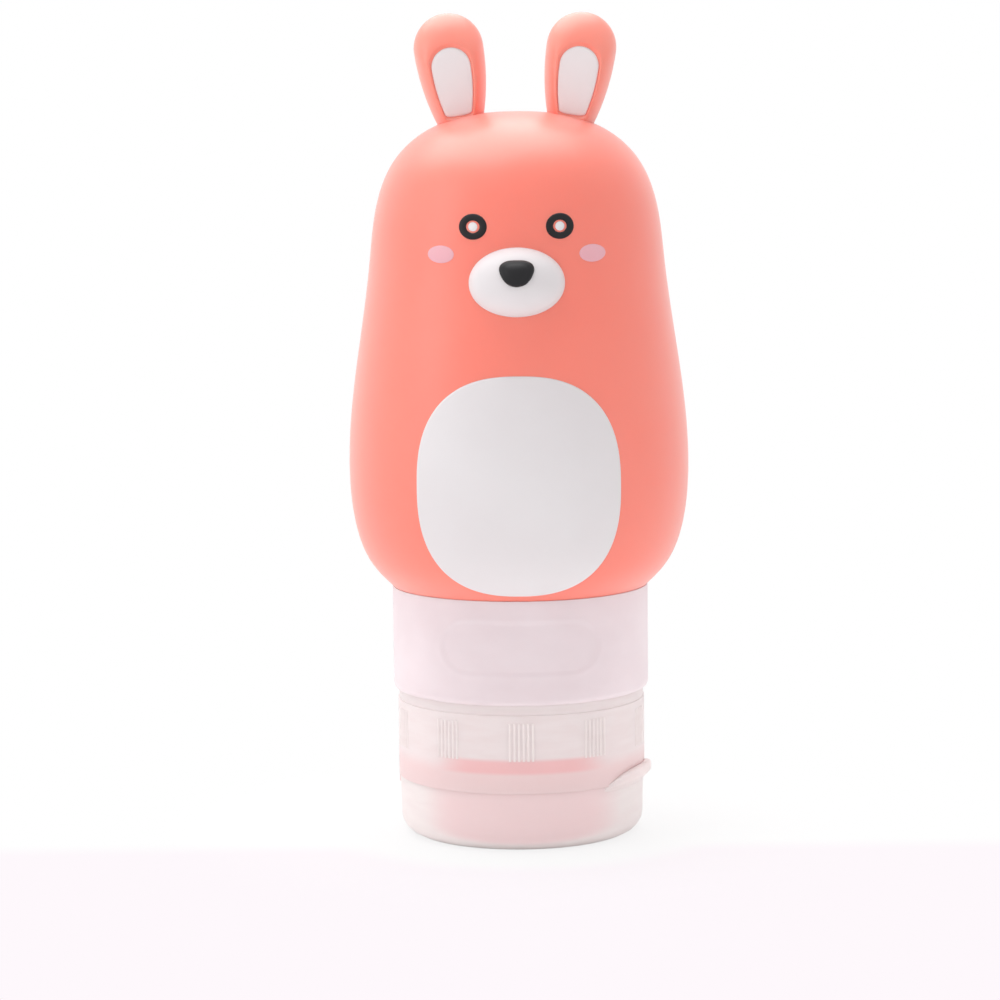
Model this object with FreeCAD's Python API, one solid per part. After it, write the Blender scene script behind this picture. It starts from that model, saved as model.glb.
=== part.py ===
import FreeCAD, Part

import math
import os

from FreeCAD import Matrix, Vector

# Silicone squeeze bottle in the form of a long-eared animal, stood upside down on its flip cap.
# Lengths are millimetres, angles are degrees, +Z is up and the floor is z = 0, under the lid.
# The face looks along -Y. Left and right are as seen from the front.
# Bearings round the axis start at the front and grow towards +X.

# Fits
running_gap = 0.3
seat_gap = 0.05
parting_gap = 0.25
thread_gap = 0.45
overrun = 1.0

# Soft body
belly_radius = 26.2
body_height = 72.9
body_wall = 2.2
neck_bore_radius = 12.2
neck_wall = 2.2
lip_thickness = 2.0
outline_samples = 16
search_steps = 40
body_outline_shares = (
    (0.0, 1.0),
    (0.280, 0.992),
    (0.524, 0.961),
    (0.718, 0.897),
    (0.820, 0.807),
    (0.866, 0.684),
    (0.931, 0.515),
    (0.985, 0.367),
    (1.000, 0.257),
    (0.973, 0.144),
    (0.870, 0.0467),
    (0.748, 0.0),
)

# Ears
ear_length = 16.9
ear_tip_radius = 5.34
ear_foot_half_width = 2.3
ear_stem = 3.0
ear_thickness = 5.2
ear_edge_radius = 1.8
ear_spacing = 16.8
ear_drop = 1.8
ear_lean = 8.8
ear_seat = 1.2

# Dish and inlay in the front of each ear
dish_rim = 1.5
dish_depth = 0.3
dish_foot_half_width = 2.2
inlay_tip_radius = 3.0
inlay_tip_height = 8.66
inlay_foot_half_width = 1.95
inlay_foot_height = 1.2
inlay_thickness = 0.8

# Face, with heights counted down from the crown
eye_spacing = 12.86
eye_drop = 16.6
eye_radius = 2.1
eye_hole_radius = 0.93
eye_dot_radius = 0.72
cheek_spacing = 22.5
cheek_drop = 20.7
cheek_half_width = 1.95
cheek_half_height = 1.3
trim_depth = 0.6
trim_proud = 0.12

# Muzzle and nose
muzzle_drop = 24.95
muzzle_half_width = 7.15
muzzle_half_height = 5.4
muzzle_bulge = 5.2
muzzle_sink = 1.5
muzzle_seat = 0.9
nose_drop = 23.35
nose_width = 5.2
nose_height = 3.8
nose_proud = 0.9
nose_seat = 0.8
nose_edge_radius = 0.45
nose_outline_shares = (
    (0.0, -0.50),
    (0.21, -0.42),
    (0.35, -0.23),
    (0.46, 0.0),
    (0.495, 0.20),
    (0.43, 0.37),
    (0.25, 0.48),
    (0.0, 0.50),
    (-0.25, 0.48),
    (-0.43, 0.37),
    (-0.495, 0.20),
    (-0.46, 0.0),
    (-0.35, -0.23),
    (-0.21, -0.42),
)

# Belly patch, between the shoulder and the chin
patch_half_width = 15.2
patch_margin = 1.0
chin_gap = 8.15
patch_squareness = 2.5
patch_points = 32
patch_depth = 0.7
patch_proud = 0.2

# Thread, right-handed
sleeve_wall = 1.6
thread_pitch = 3.0
thread_turns = 1.5
thread_depth = 0.85
thread_lead_in = 1.0
thread_root_width = 1.3
thread_crest_width = 0.7
thread_bite = 0.2

# Label ring and the window ring that turns round it
flange_reach = 1.6
flange_thickness = 1.0
bead_inset = 0.2
bead_height = 0.7
label_height = 12.4
key_count = 3
key_radius = 0.6
window_wall = 1.85
window_lip_rise = 1.2
window_lip_thickness = 1.0
window_snap = 0.25
window_edge_radius = 1.5
pane_half_width = 12.2
pane_half_height = 4.25
pane_rise = 8.75
pane_depth = 0.3

# Cap
cap_wall = 1.8
cap_deck = 1.6
cap_margin = 1.4
cap_step_height = 1.2
cap_step_depth = 0.15
seal_thickness = 1.0
seal_width = 2.9
land_height = 1.5
land_wall = 1.5
rib_groups = 10
ribs_in_group = 6
rib_pitch_angle = 2.1
rib_radius = 0.22
rib_height = 5.8
rib_top_margin = 2.4

# Drip valve and its clip
valve_radius = 5.9
valve_wall = 0.7
valve_flange_reach = 2.1
valve_flange_thickness = 1.2
valve_drop = 0.8
slit_length = 5.0
slit_width = 0.25
clip_thickness = 1.5
clip_wall = 3.0
clip_wall_margin = 0.1
keeper_wall = 1.2

# Lid
lid_height = 9.0
lid_inset = 0.2
lid_draft = 0.2
lid_wall = 1.5
lid_floor = 1.4
lid_corner_radius = 3.0
lid_inner_corner_radius = 2.0
plug_radius = 5.0
plug_wall = 1.2
tab_bearing = 72.0
tab_half_angle = 30.0
tab_reach = 1.5
tab_root = 0.7
tab_rise = 2.2
tab_slope = 1.6
tab_edge_radius = 0.7

# Living hinge, opposite the tab
strap_half_angle = 7.0
strap_overlap = 2.2
strap_thickness = 0.4

# Radii that follow from the neck outwards
neck_radius = neck_bore_radius + neck_wall
sleeve_bore_radius = neck_radius + seat_gap
sleeve_radius = sleeve_bore_radius + sleeve_wall
thread_radius = sleeve_radius + thread_depth
cap_bore_radius = thread_radius + thread_gap
cap_thread_radius = sleeve_radius + thread_gap
cap_radius = cap_bore_radius + cap_wall
lid_radius = cap_radius - lid_inset
lid_bore_radius = lid_radius - lid_wall
land_radius = lid_bore_radius - running_gap
flange_radius = sleeve_radius + flange_reach
bead_radius = flange_radius - bead_inset
window_bore_radius = flange_radius + running_gap
window_radius = window_bore_radius + window_wall
keeper_radius = valve_radius + valve_flange_reach + seat_gap

# Heights that follow from the floor upwards
cap_bottom = lid_height + parting_gap
deck_top = cap_bottom + cap_deck
seal_bottom = deck_top + seat_gap
lip_bottom = seal_bottom + seal_thickness + seat_gap
lip_top = lip_bottom + lip_thickness
sleeve_bottom = lip_top + seat_gap
thread_start = sleeve_bottom + thread_lead_in
cap_thread_start = thread_start + thread_pitch / 2
cap_top = cap_thread_start + thread_pitch * thread_turns + cap_margin
window_bottom = cap_top + running_gap
window_lip_bottom = window_bottom + window_lip_rise
flange_bottom = window_lip_bottom + window_lip_thickness + running_gap
label_bottom = flange_bottom + flange_thickness + seat_gap
sleeve_top = label_bottom + label_height
shoulder = sleeve_top + seat_gap
window_top = shoulder - running_gap
crown = shoulder + body_height
patch_bottom = shoulder + patch_margin
patch_top = crown - muzzle_drop - muzzle_half_height - chin_gap
flange_seat = deck_top + seat_gap
clip_bottom = flange_seat + valve_flange_thickness + seat_gap
valve_bottom = cap_bottom - valve_drop


def bearing(angle):
    """Unit vector at a bearing from the front towards +X."""
    return Vector(math.sin(math.radians(angle)), -math.cos(math.radians(angle)), 0)


def disc(radius, bottom, top):
    """Solid cylinder on the axis."""
    return Part.makeCylinder(radius, top - bottom, Vector(0, 0, bottom))


def ring(inner, outer, bottom, top):
    """Flat-ended ring on the axis."""
    return disc(outer, bottom, top).cut(disc(inner, bottom - overrun, top + overrun))


def circles(shape, height):
    """Round edges that lie level at a height, the widest first."""
    found = []
    for edge in shape.Edges:
        level = abs(edge.BoundBox.ZMin - height) < seat_gap and abs(edge.BoundBox.ZMax - height) < seat_gap
        if level and isinstance(edge.Curve, Part.Circle):
            found.append(edge)
    return sorted(found, key=lambda edge: -edge.Curve.Radius)


def outline(grow):
    """Side outline of the body from the crown to the shoulder, moved out along its normal."""
    points = [Vector(belly_radius * across, 0, shoulder + body_height * up) for across, up in body_outline_shares]
    curve = Part.BSplineCurve()
    curve.interpolate(Points=points)
    if grow == 0:
        return curve
    moved = []
    for index in range(outline_samples + 1):
        share = index / outline_samples
        place = curve.FirstParameter + (curve.LastParameter - curve.FirstParameter) * share
        along = curve.tangent(place)[0]
        moved.append(curve.value(place) + Vector(-along.z, 0, along.x) * grow)
    moved[0].x = 0
    curve = Part.BSplineCurve()
    curve.interpolate(Points=moved)
    return curve


def core(grow):
    """Solid body form, grown or shrunk along its normals."""
    curve = outline(grow)
    top = curve.StartPoint
    edge = curve.EndPoint
    middle = Vector(0, 0, edge.z)
    closing = [Part.LineSegment(edge, middle).toShape(), Part.LineSegment(middle, top).toShape()]
    face = Part.Face(Part.Wire([curve.toShape()] + closing))
    return face.revolve(Vector(0, 0, 0), Vector(0, 0, 1), 360)


def skin_radius(height):
    """Radius of the body's outside at a height."""
    curve = outline(0)
    low = curve.FirstParameter
    high = curve.LastParameter
    for step in range(search_steps):
        middle = (low + high) / 2
        if curve.value(middle).z > height:
            low = middle
        else:
            high = middle
    return curve.value(low).x


def prism(wire):
    """Solid that runs from the axis plane out past the front of the body."""
    return Part.Face(wire).extrude(Vector(0, -(belly_radius + overrun), 0))


def inlaid(form):
    """The part of a prism that fills a shallow pocket in the face and stands a little proud."""
    return form.common(core(trim_proud)).cut(core(-trim_depth))


def pocket(form, depth):
    """What a seated piece takes out of the body."""
    return form.cut(core(-depth - seat_gap))


def helical_ridge(root, crest, start):
    """Trapezium thread from a root radius to a crest radius, bedded a little into its wall."""
    outwards = math.copysign(thread_bite, crest - root)
    bed = root - outwards
    corners = [
        Vector(bed, 0, -thread_root_width / 2),
        Vector(crest, 0, -thread_crest_width / 2),
        Vector(crest, 0, thread_crest_width / 2),
        Vector(bed, 0, thread_root_width / 2),
    ]
    profile = Part.makePolygon(corners + corners[:1])
    path = Part.Wire(Part.makeHelix(thread_pitch, thread_pitch * thread_turns, root).Edges)
    ridge = path.makePipeShell([profile], True, True)
    ridge.translate(Vector(0, 0, start))
    return ridge


def lobe_wire(tip_radius, tip_height, foot_half_width, foot_height, depth):
    """Ear-like outline on the plane y = depth: flat foot, swelling sides and a round tip."""
    rise = tip_height - foot_height
    spread = tip_radius - foot_half_width
    bend = (spread * spread + rise * rise) / (2 * spread)
    waist = tip_radius - bend + math.sqrt(bend * bend - rise * rise / 4)
    foot_right = Vector(foot_half_width, depth, foot_height)
    side_right = Vector(waist, depth, foot_height + rise / 2)
    tip_right = Vector(tip_radius, depth, tip_height)
    tip = Vector(0, depth, tip_height + tip_radius)
    tip_left = Vector(-tip_radius, depth, tip_height)
    side_left = Vector(-waist, depth, foot_height + rise / 2)
    foot_left = Vector(-foot_half_width, depth, foot_height)
    edges = [
        Part.LineSegment(foot_left, foot_right).toShape(),
        Part.Arc(foot_right, side_right, tip_right).toShape(),
        Part.Arc(tip_right, tip, tip_left).toShape(),
        Part.Arc(tip_left, side_left, foot_left).toShape(),
    ]
    return Part.Wire(edges)


def on_crown(shape, side):
    """Leans an ear piece outwards and stands it on the head."""
    shape.rotate(Vector(0, 0, 0), Vector(0, 1, 0), ear_lean * side)
    shape.translate(Vector(side * ear_spacing / 2, 0, crown - ear_drop))
    return shape


def ear_blank(grow):
    """Ear lobe with rounded edges, before its dish is cut."""
    front = -ear_thickness / 2 - grow
    tip_height = ear_length - ear_tip_radius
    wire = lobe_wire(ear_tip_radius + grow, tip_height, ear_foot_half_width + grow, -ear_stem - grow, front)
    blank = Part.Face(wire).extrude(Vector(0, ear_thickness + 2 * grow, 0))
    rims = []
    for edge in blank.Edges:
        across = edge.BoundBox.YLength > ear_thickness / 2
        if not across and isinstance(edge.Curve, Part.Circle):
            rims.append(edge)
    return blank.makeFillet(ear_edge_radius, rims)


def inlay_lobe(grow, depth):
    """Inlay of an ear, let into the floor of the dish."""
    front = dish_depth - ear_thickness / 2
    wire = lobe_wire(
        inlay_tip_radius + grow, inlay_tip_height, inlay_foot_half_width + grow, inlay_foot_height - grow, front
    )
    return Part.Face(wire).extrude(Vector(0, depth, 0))


def ear(side):
    """Ear with its dished front, seated in the head."""
    front = -ear_thickness / 2
    tip_height = ear_length - ear_tip_radius
    mouth = lobe_wire(ear_tip_radius - dish_rim, tip_height, dish_foot_half_width, inlay_foot_height - seat_gap, front)
    floor = lobe_wire(inlay_tip_radius, inlay_tip_height, inlay_foot_half_width, inlay_foot_height, front + dish_depth)
    dish = Part.makeLoft([mouth, floor], True, True)
    shape = ear_blank(0).cut(dish).cut(inlay_lobe(seat_gap, inlay_thickness + seat_gap))
    return on_crown(shape, side).cut(core(-ear_seat))


def ear_inlay(side):
    """White inlay in an ear."""
    return on_crown(inlay_lobe(0, inlay_thickness), side)


def round_post(radius, across, height):
    """Round prism through the front of the body."""
    return Part.makeCylinder(radius, belly_radius + overrun, Vector(across, 0, height), Vector(0, -1, 0))


def eye_band(side, grow):
    """Ring prism of an eye."""
    across = side * eye_spacing / 2
    height = crown - eye_drop
    return round_post(eye_radius + grow, across, height).cut(round_post(eye_hole_radius - grow, across, height))


def eye_centre(side, grow):
    """Round prism in the middle of an eye."""
    return round_post(eye_dot_radius + grow, side * eye_spacing / 2, crown - eye_drop)


def cheek_form(side, grow):
    """Oval prism of a cheek."""
    oval = Part.Ellipse(Vector(0, 0, 0), cheek_half_width + grow, cheek_half_height + grow).toShape()
    oval.rotate(Vector(0, 0, 0), Vector(1, 0, 0), 90)
    oval.translate(Vector(side * cheek_spacing / 2, 0, crown - cheek_drop))
    return prism(Part.Wire([oval]))


def patch_form(grow):
    """Rounded-square prism of the belly patch."""
    points = []
    for index in range(patch_points):
        turn = 2 * math.pi * index / patch_points
        across = math.copysign(abs(math.cos(turn)) ** (2 / patch_squareness), math.cos(turn))
        up = math.copysign(abs(math.sin(turn)) ** (2 / patch_squareness), math.sin(turn))
        height = (patch_top + patch_bottom) / 2 + ((patch_top - patch_bottom) / 2 + grow) * up
        points.append(Vector((patch_half_width + grow) * across, 0, height))
    curve = Part.BSplineCurve()
    curve.interpolate(Points=points, PeriodicFlag=True)
    return prism(Part.Wire([curve.toShape()]))


def muzzle_form(grow):
    """Egg-shaped muzzle, half sunk in the front of the head."""
    height = crown - muzzle_drop
    sizes = Matrix()
    sizes.scale(Vector(muzzle_half_width + grow, muzzle_bulge + grow, muzzle_half_height + grow))
    form = Part.makeSphere(1).transformGeometry(sizes)
    form.translate(Vector(0, muzzle_sink - skin_radius(height), height))
    return form


def nose_form(grow):
    """Rounded-triangle prism of the nose, in front of the head."""
    height = crown - nose_drop
    start = -skin_radius(height)
    points = []
    for across, up in nose_outline_shares:
        points.append(Vector((nose_width + 2 * grow) * across, start, height + (nose_height + 2 * grow) * up))
    curve = Part.BSplineCurve()
    curve.interpolate(Points=points, PeriodicFlag=True)
    face = Part.Face(Part.Wire([curve.toShape()]))
    return face.extrude(Vector(0, -(muzzle_bulge + nose_proud), 0))


def nose():
    """Nose with a rounded front edge, let into the muzzle."""
    shape = nose_form(0).common(muzzle_form(nose_proud))
    front = min(shape.Edges, key=lambda edge: edge.BoundBox.YMin)
    return shape.makeFillet(nose_edge_radius, [front]).cut(muzzle_form(-nose_seat))


def muzzle():
    """Muzzle with its seat on the head and the pocket for the nose."""
    nose_pocket = nose_form(seat_gap).cut(muzzle_form(-nose_seat - seat_gap))
    return muzzle_form(0).cut(core(-muzzle_seat)).cut(nose_pocket)


def belly_patch():
    """White inlay on the belly."""
    return patch_form(0).common(core(patch_proud)).cut(core(-patch_depth))


def bottle_body():
    """Hollow soft body with a mouth in its shoulder and the pockets for all that is bonded to it."""
    floor = shoulder + body_wall
    hollow = core(-body_wall).cut(disc(belly_radius + overrun, shoulder - body_wall, floor))
    mouth = disc(neck_bore_radius, shoulder - overrun, floor + body_wall)
    shape = core(0).cut(hollow.fuse(mouth))
    taken = [pocket(muzzle_form(seat_gap), muzzle_seat), pocket(patch_form(seat_gap), patch_depth)]
    for side in (-1, 1):
        taken.append(pocket(on_crown(ear_blank(seat_gap), side), ear_seat))
        taken.append(pocket(eye_band(side, seat_gap), trim_depth))
        taken.append(pocket(eye_centre(side, seat_gap), trim_depth))
        taken.append(pocket(cheek_form(side, seat_gap), trim_depth))
    for tool in taken:
        shape = shape.cut(tool)
    return shape


def bottle_neck():
    """Soft neck under the shoulder, ending in a sealing lip as wide as the sleeve."""
    shape = disc(neck_radius, lip_bottom, shoulder).fuse(disc(sleeve_radius, lip_bottom, lip_top))
    return shape.cut(disc(neck_bore_radius, lip_bottom - overrun, shoulder + overrun))


def keys(grow):
    """Upright keys that stop the label ring from turning on the sleeve."""
    posts = []
    for index in range(key_count):
        foot = bearing(360 * index / key_count) * sleeve_radius + Vector(0, 0, label_bottom - seat_gap)
        posts.append(Part.makeCylinder(key_radius + grow, label_height + seat_gap, foot))
    return posts


def thread_sleeve():
    """Hard sleeve on the soft neck, with thread, snap bead, flange and keys."""
    bead_top = window_lip_bottom - running_gap
    shape = disc(sleeve_radius, sleeve_bottom, sleeve_top)
    shape = shape.fuse(disc(bead_radius, bead_top - bead_height, bead_top))
    shape = shape.fuse(disc(flange_radius, flange_bottom, flange_bottom + flange_thickness))
    shape = shape.fuse(keys(0)).fuse(helical_ridge(sleeve_radius, thread_radius, thread_start))
    return shape.cut(disc(sleeve_bore_radius, sleeve_bottom - overrun, sleeve_top + overrun))


def label_ring():
    """Plain ring that shows through the window, slotted for the keys."""
    return ring(sleeve_radius + seat_gap, flange_radius, label_bottom, sleeve_top).cut(keys(seat_gap))


def window_ring():
    """Turning collar with a lip that snaps under the flange and a shallow rounded pane."""
    shape = ring(window_bore_radius, window_radius, window_bottom, window_top)
    shape = shape.makeFillet(window_edge_radius, circles(shape, window_bottom)[:1])
    lip_top_height = window_lip_bottom + window_lip_thickness
    middle = (window_bore_radius + window_radius) / 2
    shape = shape.fuse(ring(bead_radius - window_snap, middle, window_lip_bottom, lip_top_height))
    height = window_bottom + pane_rise
    reach = window_radius + overrun
    straight = pane_half_width - pane_half_height
    corner = Vector(-straight, -reach, height - pane_half_height)
    pane = Part.makeBox(2 * straight, reach, 2 * pane_half_height, corner)
    for side in (-1, 1):
        end = Vector(side * straight, 0, height)
        pane = pane.fuse(Part.makeCylinder(pane_half_height, reach, end, Vector(0, -1, 0)))
    return shape.cut(pane.cut(disc(window_radius - pane_depth, window_bottom, window_top)))


def seal_ring():
    """Washer between the neck's lip and the cap's deck."""
    return ring(sleeve_radius - seal_width, sleeve_radius, seal_bottom, seal_bottom + seal_thickness)


def grip_ribs():
    """Fine upright ribs in groups round the cap."""
    ribs = []
    for group in range(rib_groups):
        for index in range(ribs_in_group):
            angle = 360 * group / rib_groups + rib_pitch_angle * (index - (ribs_in_group - 1) / 2)
            foot = bearing(angle) * cap_radius + Vector(0, 0, cap_top - rib_top_margin - rib_height)
            ribs.append(Part.makeCylinder(rib_radius, rib_height, foot))
    return ribs


def cap_base():
    """Cap with deck, valve seat, snap land for the lid, inside thread and grip ribs."""
    keeper_top = clip_bottom + clip_thickness + clip_wall_margin
    step_bottom = cap_top - cap_step_height
    shape = disc(cap_radius, cap_bottom, cap_top).fuse(grip_ribs())
    shape = shape.cut(disc(cap_bore_radius, deck_top, cap_top + overrun))
    shape = shape.cut(ring(cap_radius - cap_step_depth, cap_radius + overrun, step_bottom, cap_top + overrun))
    shape = shape.fuse(ring(keeper_radius, keeper_radius + keeper_wall, cap_bottom, keeper_top))
    shape = shape.fuse(ring(land_radius - land_wall, land_radius, cap_bottom - land_height, deck_top))
    shape = shape.cut(disc(valve_radius + running_gap, cap_bottom - overrun, deck_top + overrun))
    return shape.fuse(helical_ridge(cap_bore_radius, cap_thread_radius, cap_thread_start))


def drip_valve():
    """Soft valve with a crossed slit in its floor."""
    flange_top = flange_seat + valve_flange_thickness
    shape = disc(valve_radius, valve_bottom, flange_top)
    shape = shape.fuse(disc(valve_radius + valve_flange_reach, flange_seat, flange_top))
    shape = shape.cut(disc(valve_radius - valve_wall, valve_bottom + valve_wall, flange_top + overrun))
    for turn in (0, 90):
        corner = Vector(-slit_length / 2, -slit_width / 2, valve_bottom - overrun)
        slit = Part.makeBox(slit_length, slit_width, valve_wall + 2 * overrun, corner)
        slit.rotate(Vector(0, 0, 0), Vector(0, 0, 1), turn)
        shape = shape.cut(slit)
    return shape


def valve_clip():
    """Ring that clamps the valve's flange on the deck."""
    outer = keeper_radius - seat_gap
    return ring(outer - clip_wall, outer, clip_bottom, clip_bottom + clip_thickness)


def thumb_tab():
    """Crescent on the lid's rim that flares out and stands up in front of the cap's skirt."""
    reach = lid_radius + tab_reach
    inwards = lid_radius * math.cos(math.radians(tab_half_angle))
    offset = (reach * reach - lid_radius * lid_radius) / (2 * (reach - inwards))
    swing = reach - offset
    foot = bearing(tab_bearing) * offset + Vector(0, 0, lid_height - tab_root)
    brow = foot + Vector(0, 0, tab_slope)
    flare = Part.makeCone(swing - tab_reach, swing, tab_slope, foot)
    plate = Part.makeCylinder(swing, tab_root + tab_rise - tab_slope, brow)
    plate = plate.makeFillet(tab_edge_radius, circles(plate, lid_height + tab_rise)[:1])
    skirt = disc(cap_radius + running_gap, lid_height, lid_height + tab_rise + overrun)
    return flare.fuse(plate).cut(skirt)


def lid():
    """Flip lid: a cup with a round foot, a plug under the valve and a thumb tab."""
    plug_top = valve_bottom - running_gap
    shape = Part.makeCone(lid_radius - lid_draft, lid_radius, lid_height)
    shape = shape.makeFillet(lid_corner_radius, circles(shape, 0)[:1]).fuse(thumb_tab())
    hollow = disc(lid_bore_radius, lid_floor, lid_height + overrun)
    hollow = hollow.makeFillet(lid_inner_corner_radius, circles(hollow, lid_floor)[:1])
    return shape.cut(hollow).fuse(ring(plug_radius - plug_wall, plug_radius, lid_floor / 2, plug_top))


def living_hinge():
    """Thin strap over the parting line between cap and lid."""
    inner = cap_radius + seat_gap
    bottom = lid_height - strap_overlap
    height = cap_bottom + strap_overlap - bottom
    outer = inner + strap_thickness
    up = Vector(0, 0, 1)
    shape = Part.makeCylinder(outer, height, Vector(0, 0, bottom), up, 2 * strap_half_angle)
    shape = shape.cut(disc(inner, bottom - overrun, bottom + height + overrun))
    shape.rotate(Vector(0, 0, 0), up, tab_bearing + 90 - strap_half_angle)
    return shape


def pieces():
    """Every piece of the bottle by its name."""
    made = {
        "bottle_body": bottle_body(),
        "bottle_neck": bottle_neck(),
        "belly_patch": belly_patch(),
        "muzzle": muzzle(),
        "nose": nose(),
        "thread_sleeve": thread_sleeve(),
        "label_ring": label_ring(),
        "window_ring": window_ring(),
        "seal_ring": seal_ring(),
        "cap_base": cap_base(),
        "drip_valve": drip_valve(),
        "valve_clip": valve_clip(),
        "living_hinge": living_hinge(),
        "lid": lid(),
    }
    for name, side in (("left", -1), ("right", 1)):
        made["ear_" + name] = ear(side)
        made["ear_inlay_" + name] = ear_inlay(side)
        made["eye_ring_" + name] = inlaid(eye_band(side, 0))
        made["eye_dot_" + name] = inlaid(eye_centre(side, 0))
        made["cheek_" + name] = inlaid(cheek_form(side, 0))
    return made


os.makedirs("parts", exist_ok=True)
for name, shape in pieces().items():
    shape.exportStep("parts/" + name + ".step")
    print(name, "valid" if shape.isValid() else "not valid", len(shape.Solids), round(shape.Volume, 3))
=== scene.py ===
"""Looks of a soft squeeze bottle in the form of a long-eared animal, stood on its flip lid.

Lengths in the classes are millimetres in the part's frame: +Z up, the floor at z = 0, the face
towards -Y. Bearings round the axis start at the front and grow towards +X.
"""
import logging
import math
from dataclasses import dataclass, field
from enum import Enum
from typing import Callable, Iterable, Mapping, Sequence, Union

import bpy
import numpy as np
from mathutils import Color, Matrix, Vector


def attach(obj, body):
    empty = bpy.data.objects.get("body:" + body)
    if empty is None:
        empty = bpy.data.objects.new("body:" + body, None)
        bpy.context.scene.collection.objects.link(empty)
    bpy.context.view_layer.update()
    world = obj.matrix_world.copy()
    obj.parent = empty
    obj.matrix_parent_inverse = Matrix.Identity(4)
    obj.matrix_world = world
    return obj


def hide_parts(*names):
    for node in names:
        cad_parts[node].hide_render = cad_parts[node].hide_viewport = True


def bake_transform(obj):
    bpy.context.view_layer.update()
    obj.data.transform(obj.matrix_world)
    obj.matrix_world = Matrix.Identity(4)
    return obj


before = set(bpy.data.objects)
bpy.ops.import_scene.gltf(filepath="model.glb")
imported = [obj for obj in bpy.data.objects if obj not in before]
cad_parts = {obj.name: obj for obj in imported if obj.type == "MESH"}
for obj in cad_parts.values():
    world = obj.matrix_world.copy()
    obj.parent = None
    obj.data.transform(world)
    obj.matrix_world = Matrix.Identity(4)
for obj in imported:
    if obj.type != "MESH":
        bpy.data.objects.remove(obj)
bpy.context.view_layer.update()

LOG = logging.getLogger("bottle")
MM = 0.001
CREASE = 38.0
ON_AXIS = 1e-6
ARC_STEPS = 5
ARC_SIDE_SHARE = 0.46
ARC_GUARD_SHARE = 1.12
WHITE_LIGHT = (1.0, 1.0, 1.0, 1.0)

Key = Union[int, str]
Term = Union["Socket", float]
Flat = tuple[float, float]
Point = tuple[float, float, float]
Surface = Callable[[float, float, float], Point]
Shaping = Callable[[float, float, float], float]


class Body(Enum):
    """Bodies of the frame that a piece can ride on."""

    BOTTLE = "bottle"
    SELECTOR = "selector"
    SEAL = "seal"
    CAP = "cap"
    LID = "lid"


class Side(Enum):
    """Sides of the face, as seen from the front."""

    LEFT = -1.0
    RIGHT = 1.0

    @property
    def word(self) -> str:
        """Gives the side's name in piece names."""
        return self.name.lower()


def operator(operation: str, reflected: bool = False) -> Callable[["Socket", Term], "Socket"]:
    """Gives the method of an operator, which adds one Math node.

    Args:
        operation: what the node does.
        reflected: whether the socket is the second term.

    Returns:
        The method.
    """

    def method(self: "Socket", other: Term) -> "Socket":
        """Adds the node on the socket and the other term."""
        terms = (other, self) if reflected else (self, other)
        return self.graph.maths(operation, *terms)

    return method


class Socket:
    """One output of a node, with arithmetic that adds Math nodes to its tree."""

    __add__ = operator("ADD")
    __radd__ = operator("ADD", True)
    __sub__ = operator("SUBTRACT")
    __rsub__ = operator("SUBTRACT", True)
    __mul__ = operator("MULTIPLY")
    __rmul__ = operator("MULTIPLY", True)
    __truediv__ = operator("DIVIDE")
    __pow__ = operator("POWER")
    __mod__ = operator("FLOORED_MODULO")

    def __init__(self, graph: "Graph", output: bpy.types.NodeSocket) -> None:
        """Keeps the tree and the output."""
        self.graph = graph
        self.output = output

    def step(self, start: float, end: float) -> "Socket":
        """Rises smoothly from 0 at start to 1 at end."""
        inputs = {"Value": self, "From Min": start, "From Max": end, "To Min": 0.0, "To Max": 1.0}
        return self.graph.node("ShaderNodeMapRange", {"interpolation_type": "SMOOTHSTEP"}, inputs)


class Graph:
    """A node tree that is written as expressions."""

    def __init__(self, tree: bpy.types.NodeTree) -> None:
        """Keeps the tree, emptied."""
        self.tree = tree
        tree.nodes.clear()

    def node(
        self, kind: str, settings: Mapping[str, object], inputs: Mapping[Key, object], output: Key = 0
    ) -> Socket:
        """Adds a node of any kind.

        Args:
            kind: the node's type name.
            settings: its properties, set before its sockets.
            inputs: values or links of its sockets, by name or number.
            output: name or number of the output that is wanted.

        Returns:
            The wanted output.
        """
        made = self.tree.nodes.new(kind)
        for name, value in settings.items():
            setattr(made, name, value)
        for key, value in inputs.items():
            if isinstance(value, Socket):
                self.tree.links.new(value.output, made.inputs[key])
            else:
                made.inputs[key].default_value = value
        return Socket(self, made.outputs[output])

    def end(self, kind: str, last: Socket) -> None:
        """Adds the node that ends the tree."""
        self.tree.links.new(last.output, self.tree.nodes.new(kind).inputs[0])

    def maths(self, operation: str, *terms: Term) -> Socket:
        """Adds one Math node on the given terms."""
        return self.node("ShaderNodeMath", {"operation": operation}, dict(enumerate(terms)))

    def mix(self, share: Socket, first: object, second: object) -> Socket:
        """Mixes two colours by a share."""
        return self.node("ShaderNodeMix", {"data_type": "RGBA"}, {0: share, 6: first, 7: second}, 2)

    def noise(self, place: Socket, size: float, detail: float) -> Socket:
        """Gives a cloudy value whose features are about size millimetres across."""
        inputs = {"Vector": place, "Scale": 1.0 / (size * MM), "Detail": detail}
        return self.node("ShaderNodeTexNoise", {}, inputs)

    def axis(self, place: Socket, name: str) -> Socket:
        """Gives one coordinate of a place."""
        return self.node("ShaderNodeSeparateXYZ", {}, {0: place}, name)

    def ray(self, kind: str) -> Socket:
        """Gives 1 to rays of one kind."""
        return self.node("ShaderNodeLightPath", {}, {}, f"Is {kind} Ray")

    def showing(self, more: Term = 0.0) -> Socket:
        """Gives 1 to rays that show a thing plainly, mirrored or through plastic, and to more rays."""
        rays = sum((self.ray(kind) for kind in ("Camera", "Glossy", "Transmission")), more)
        return self.maths("MINIMUM", rays, 1.0)


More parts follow.
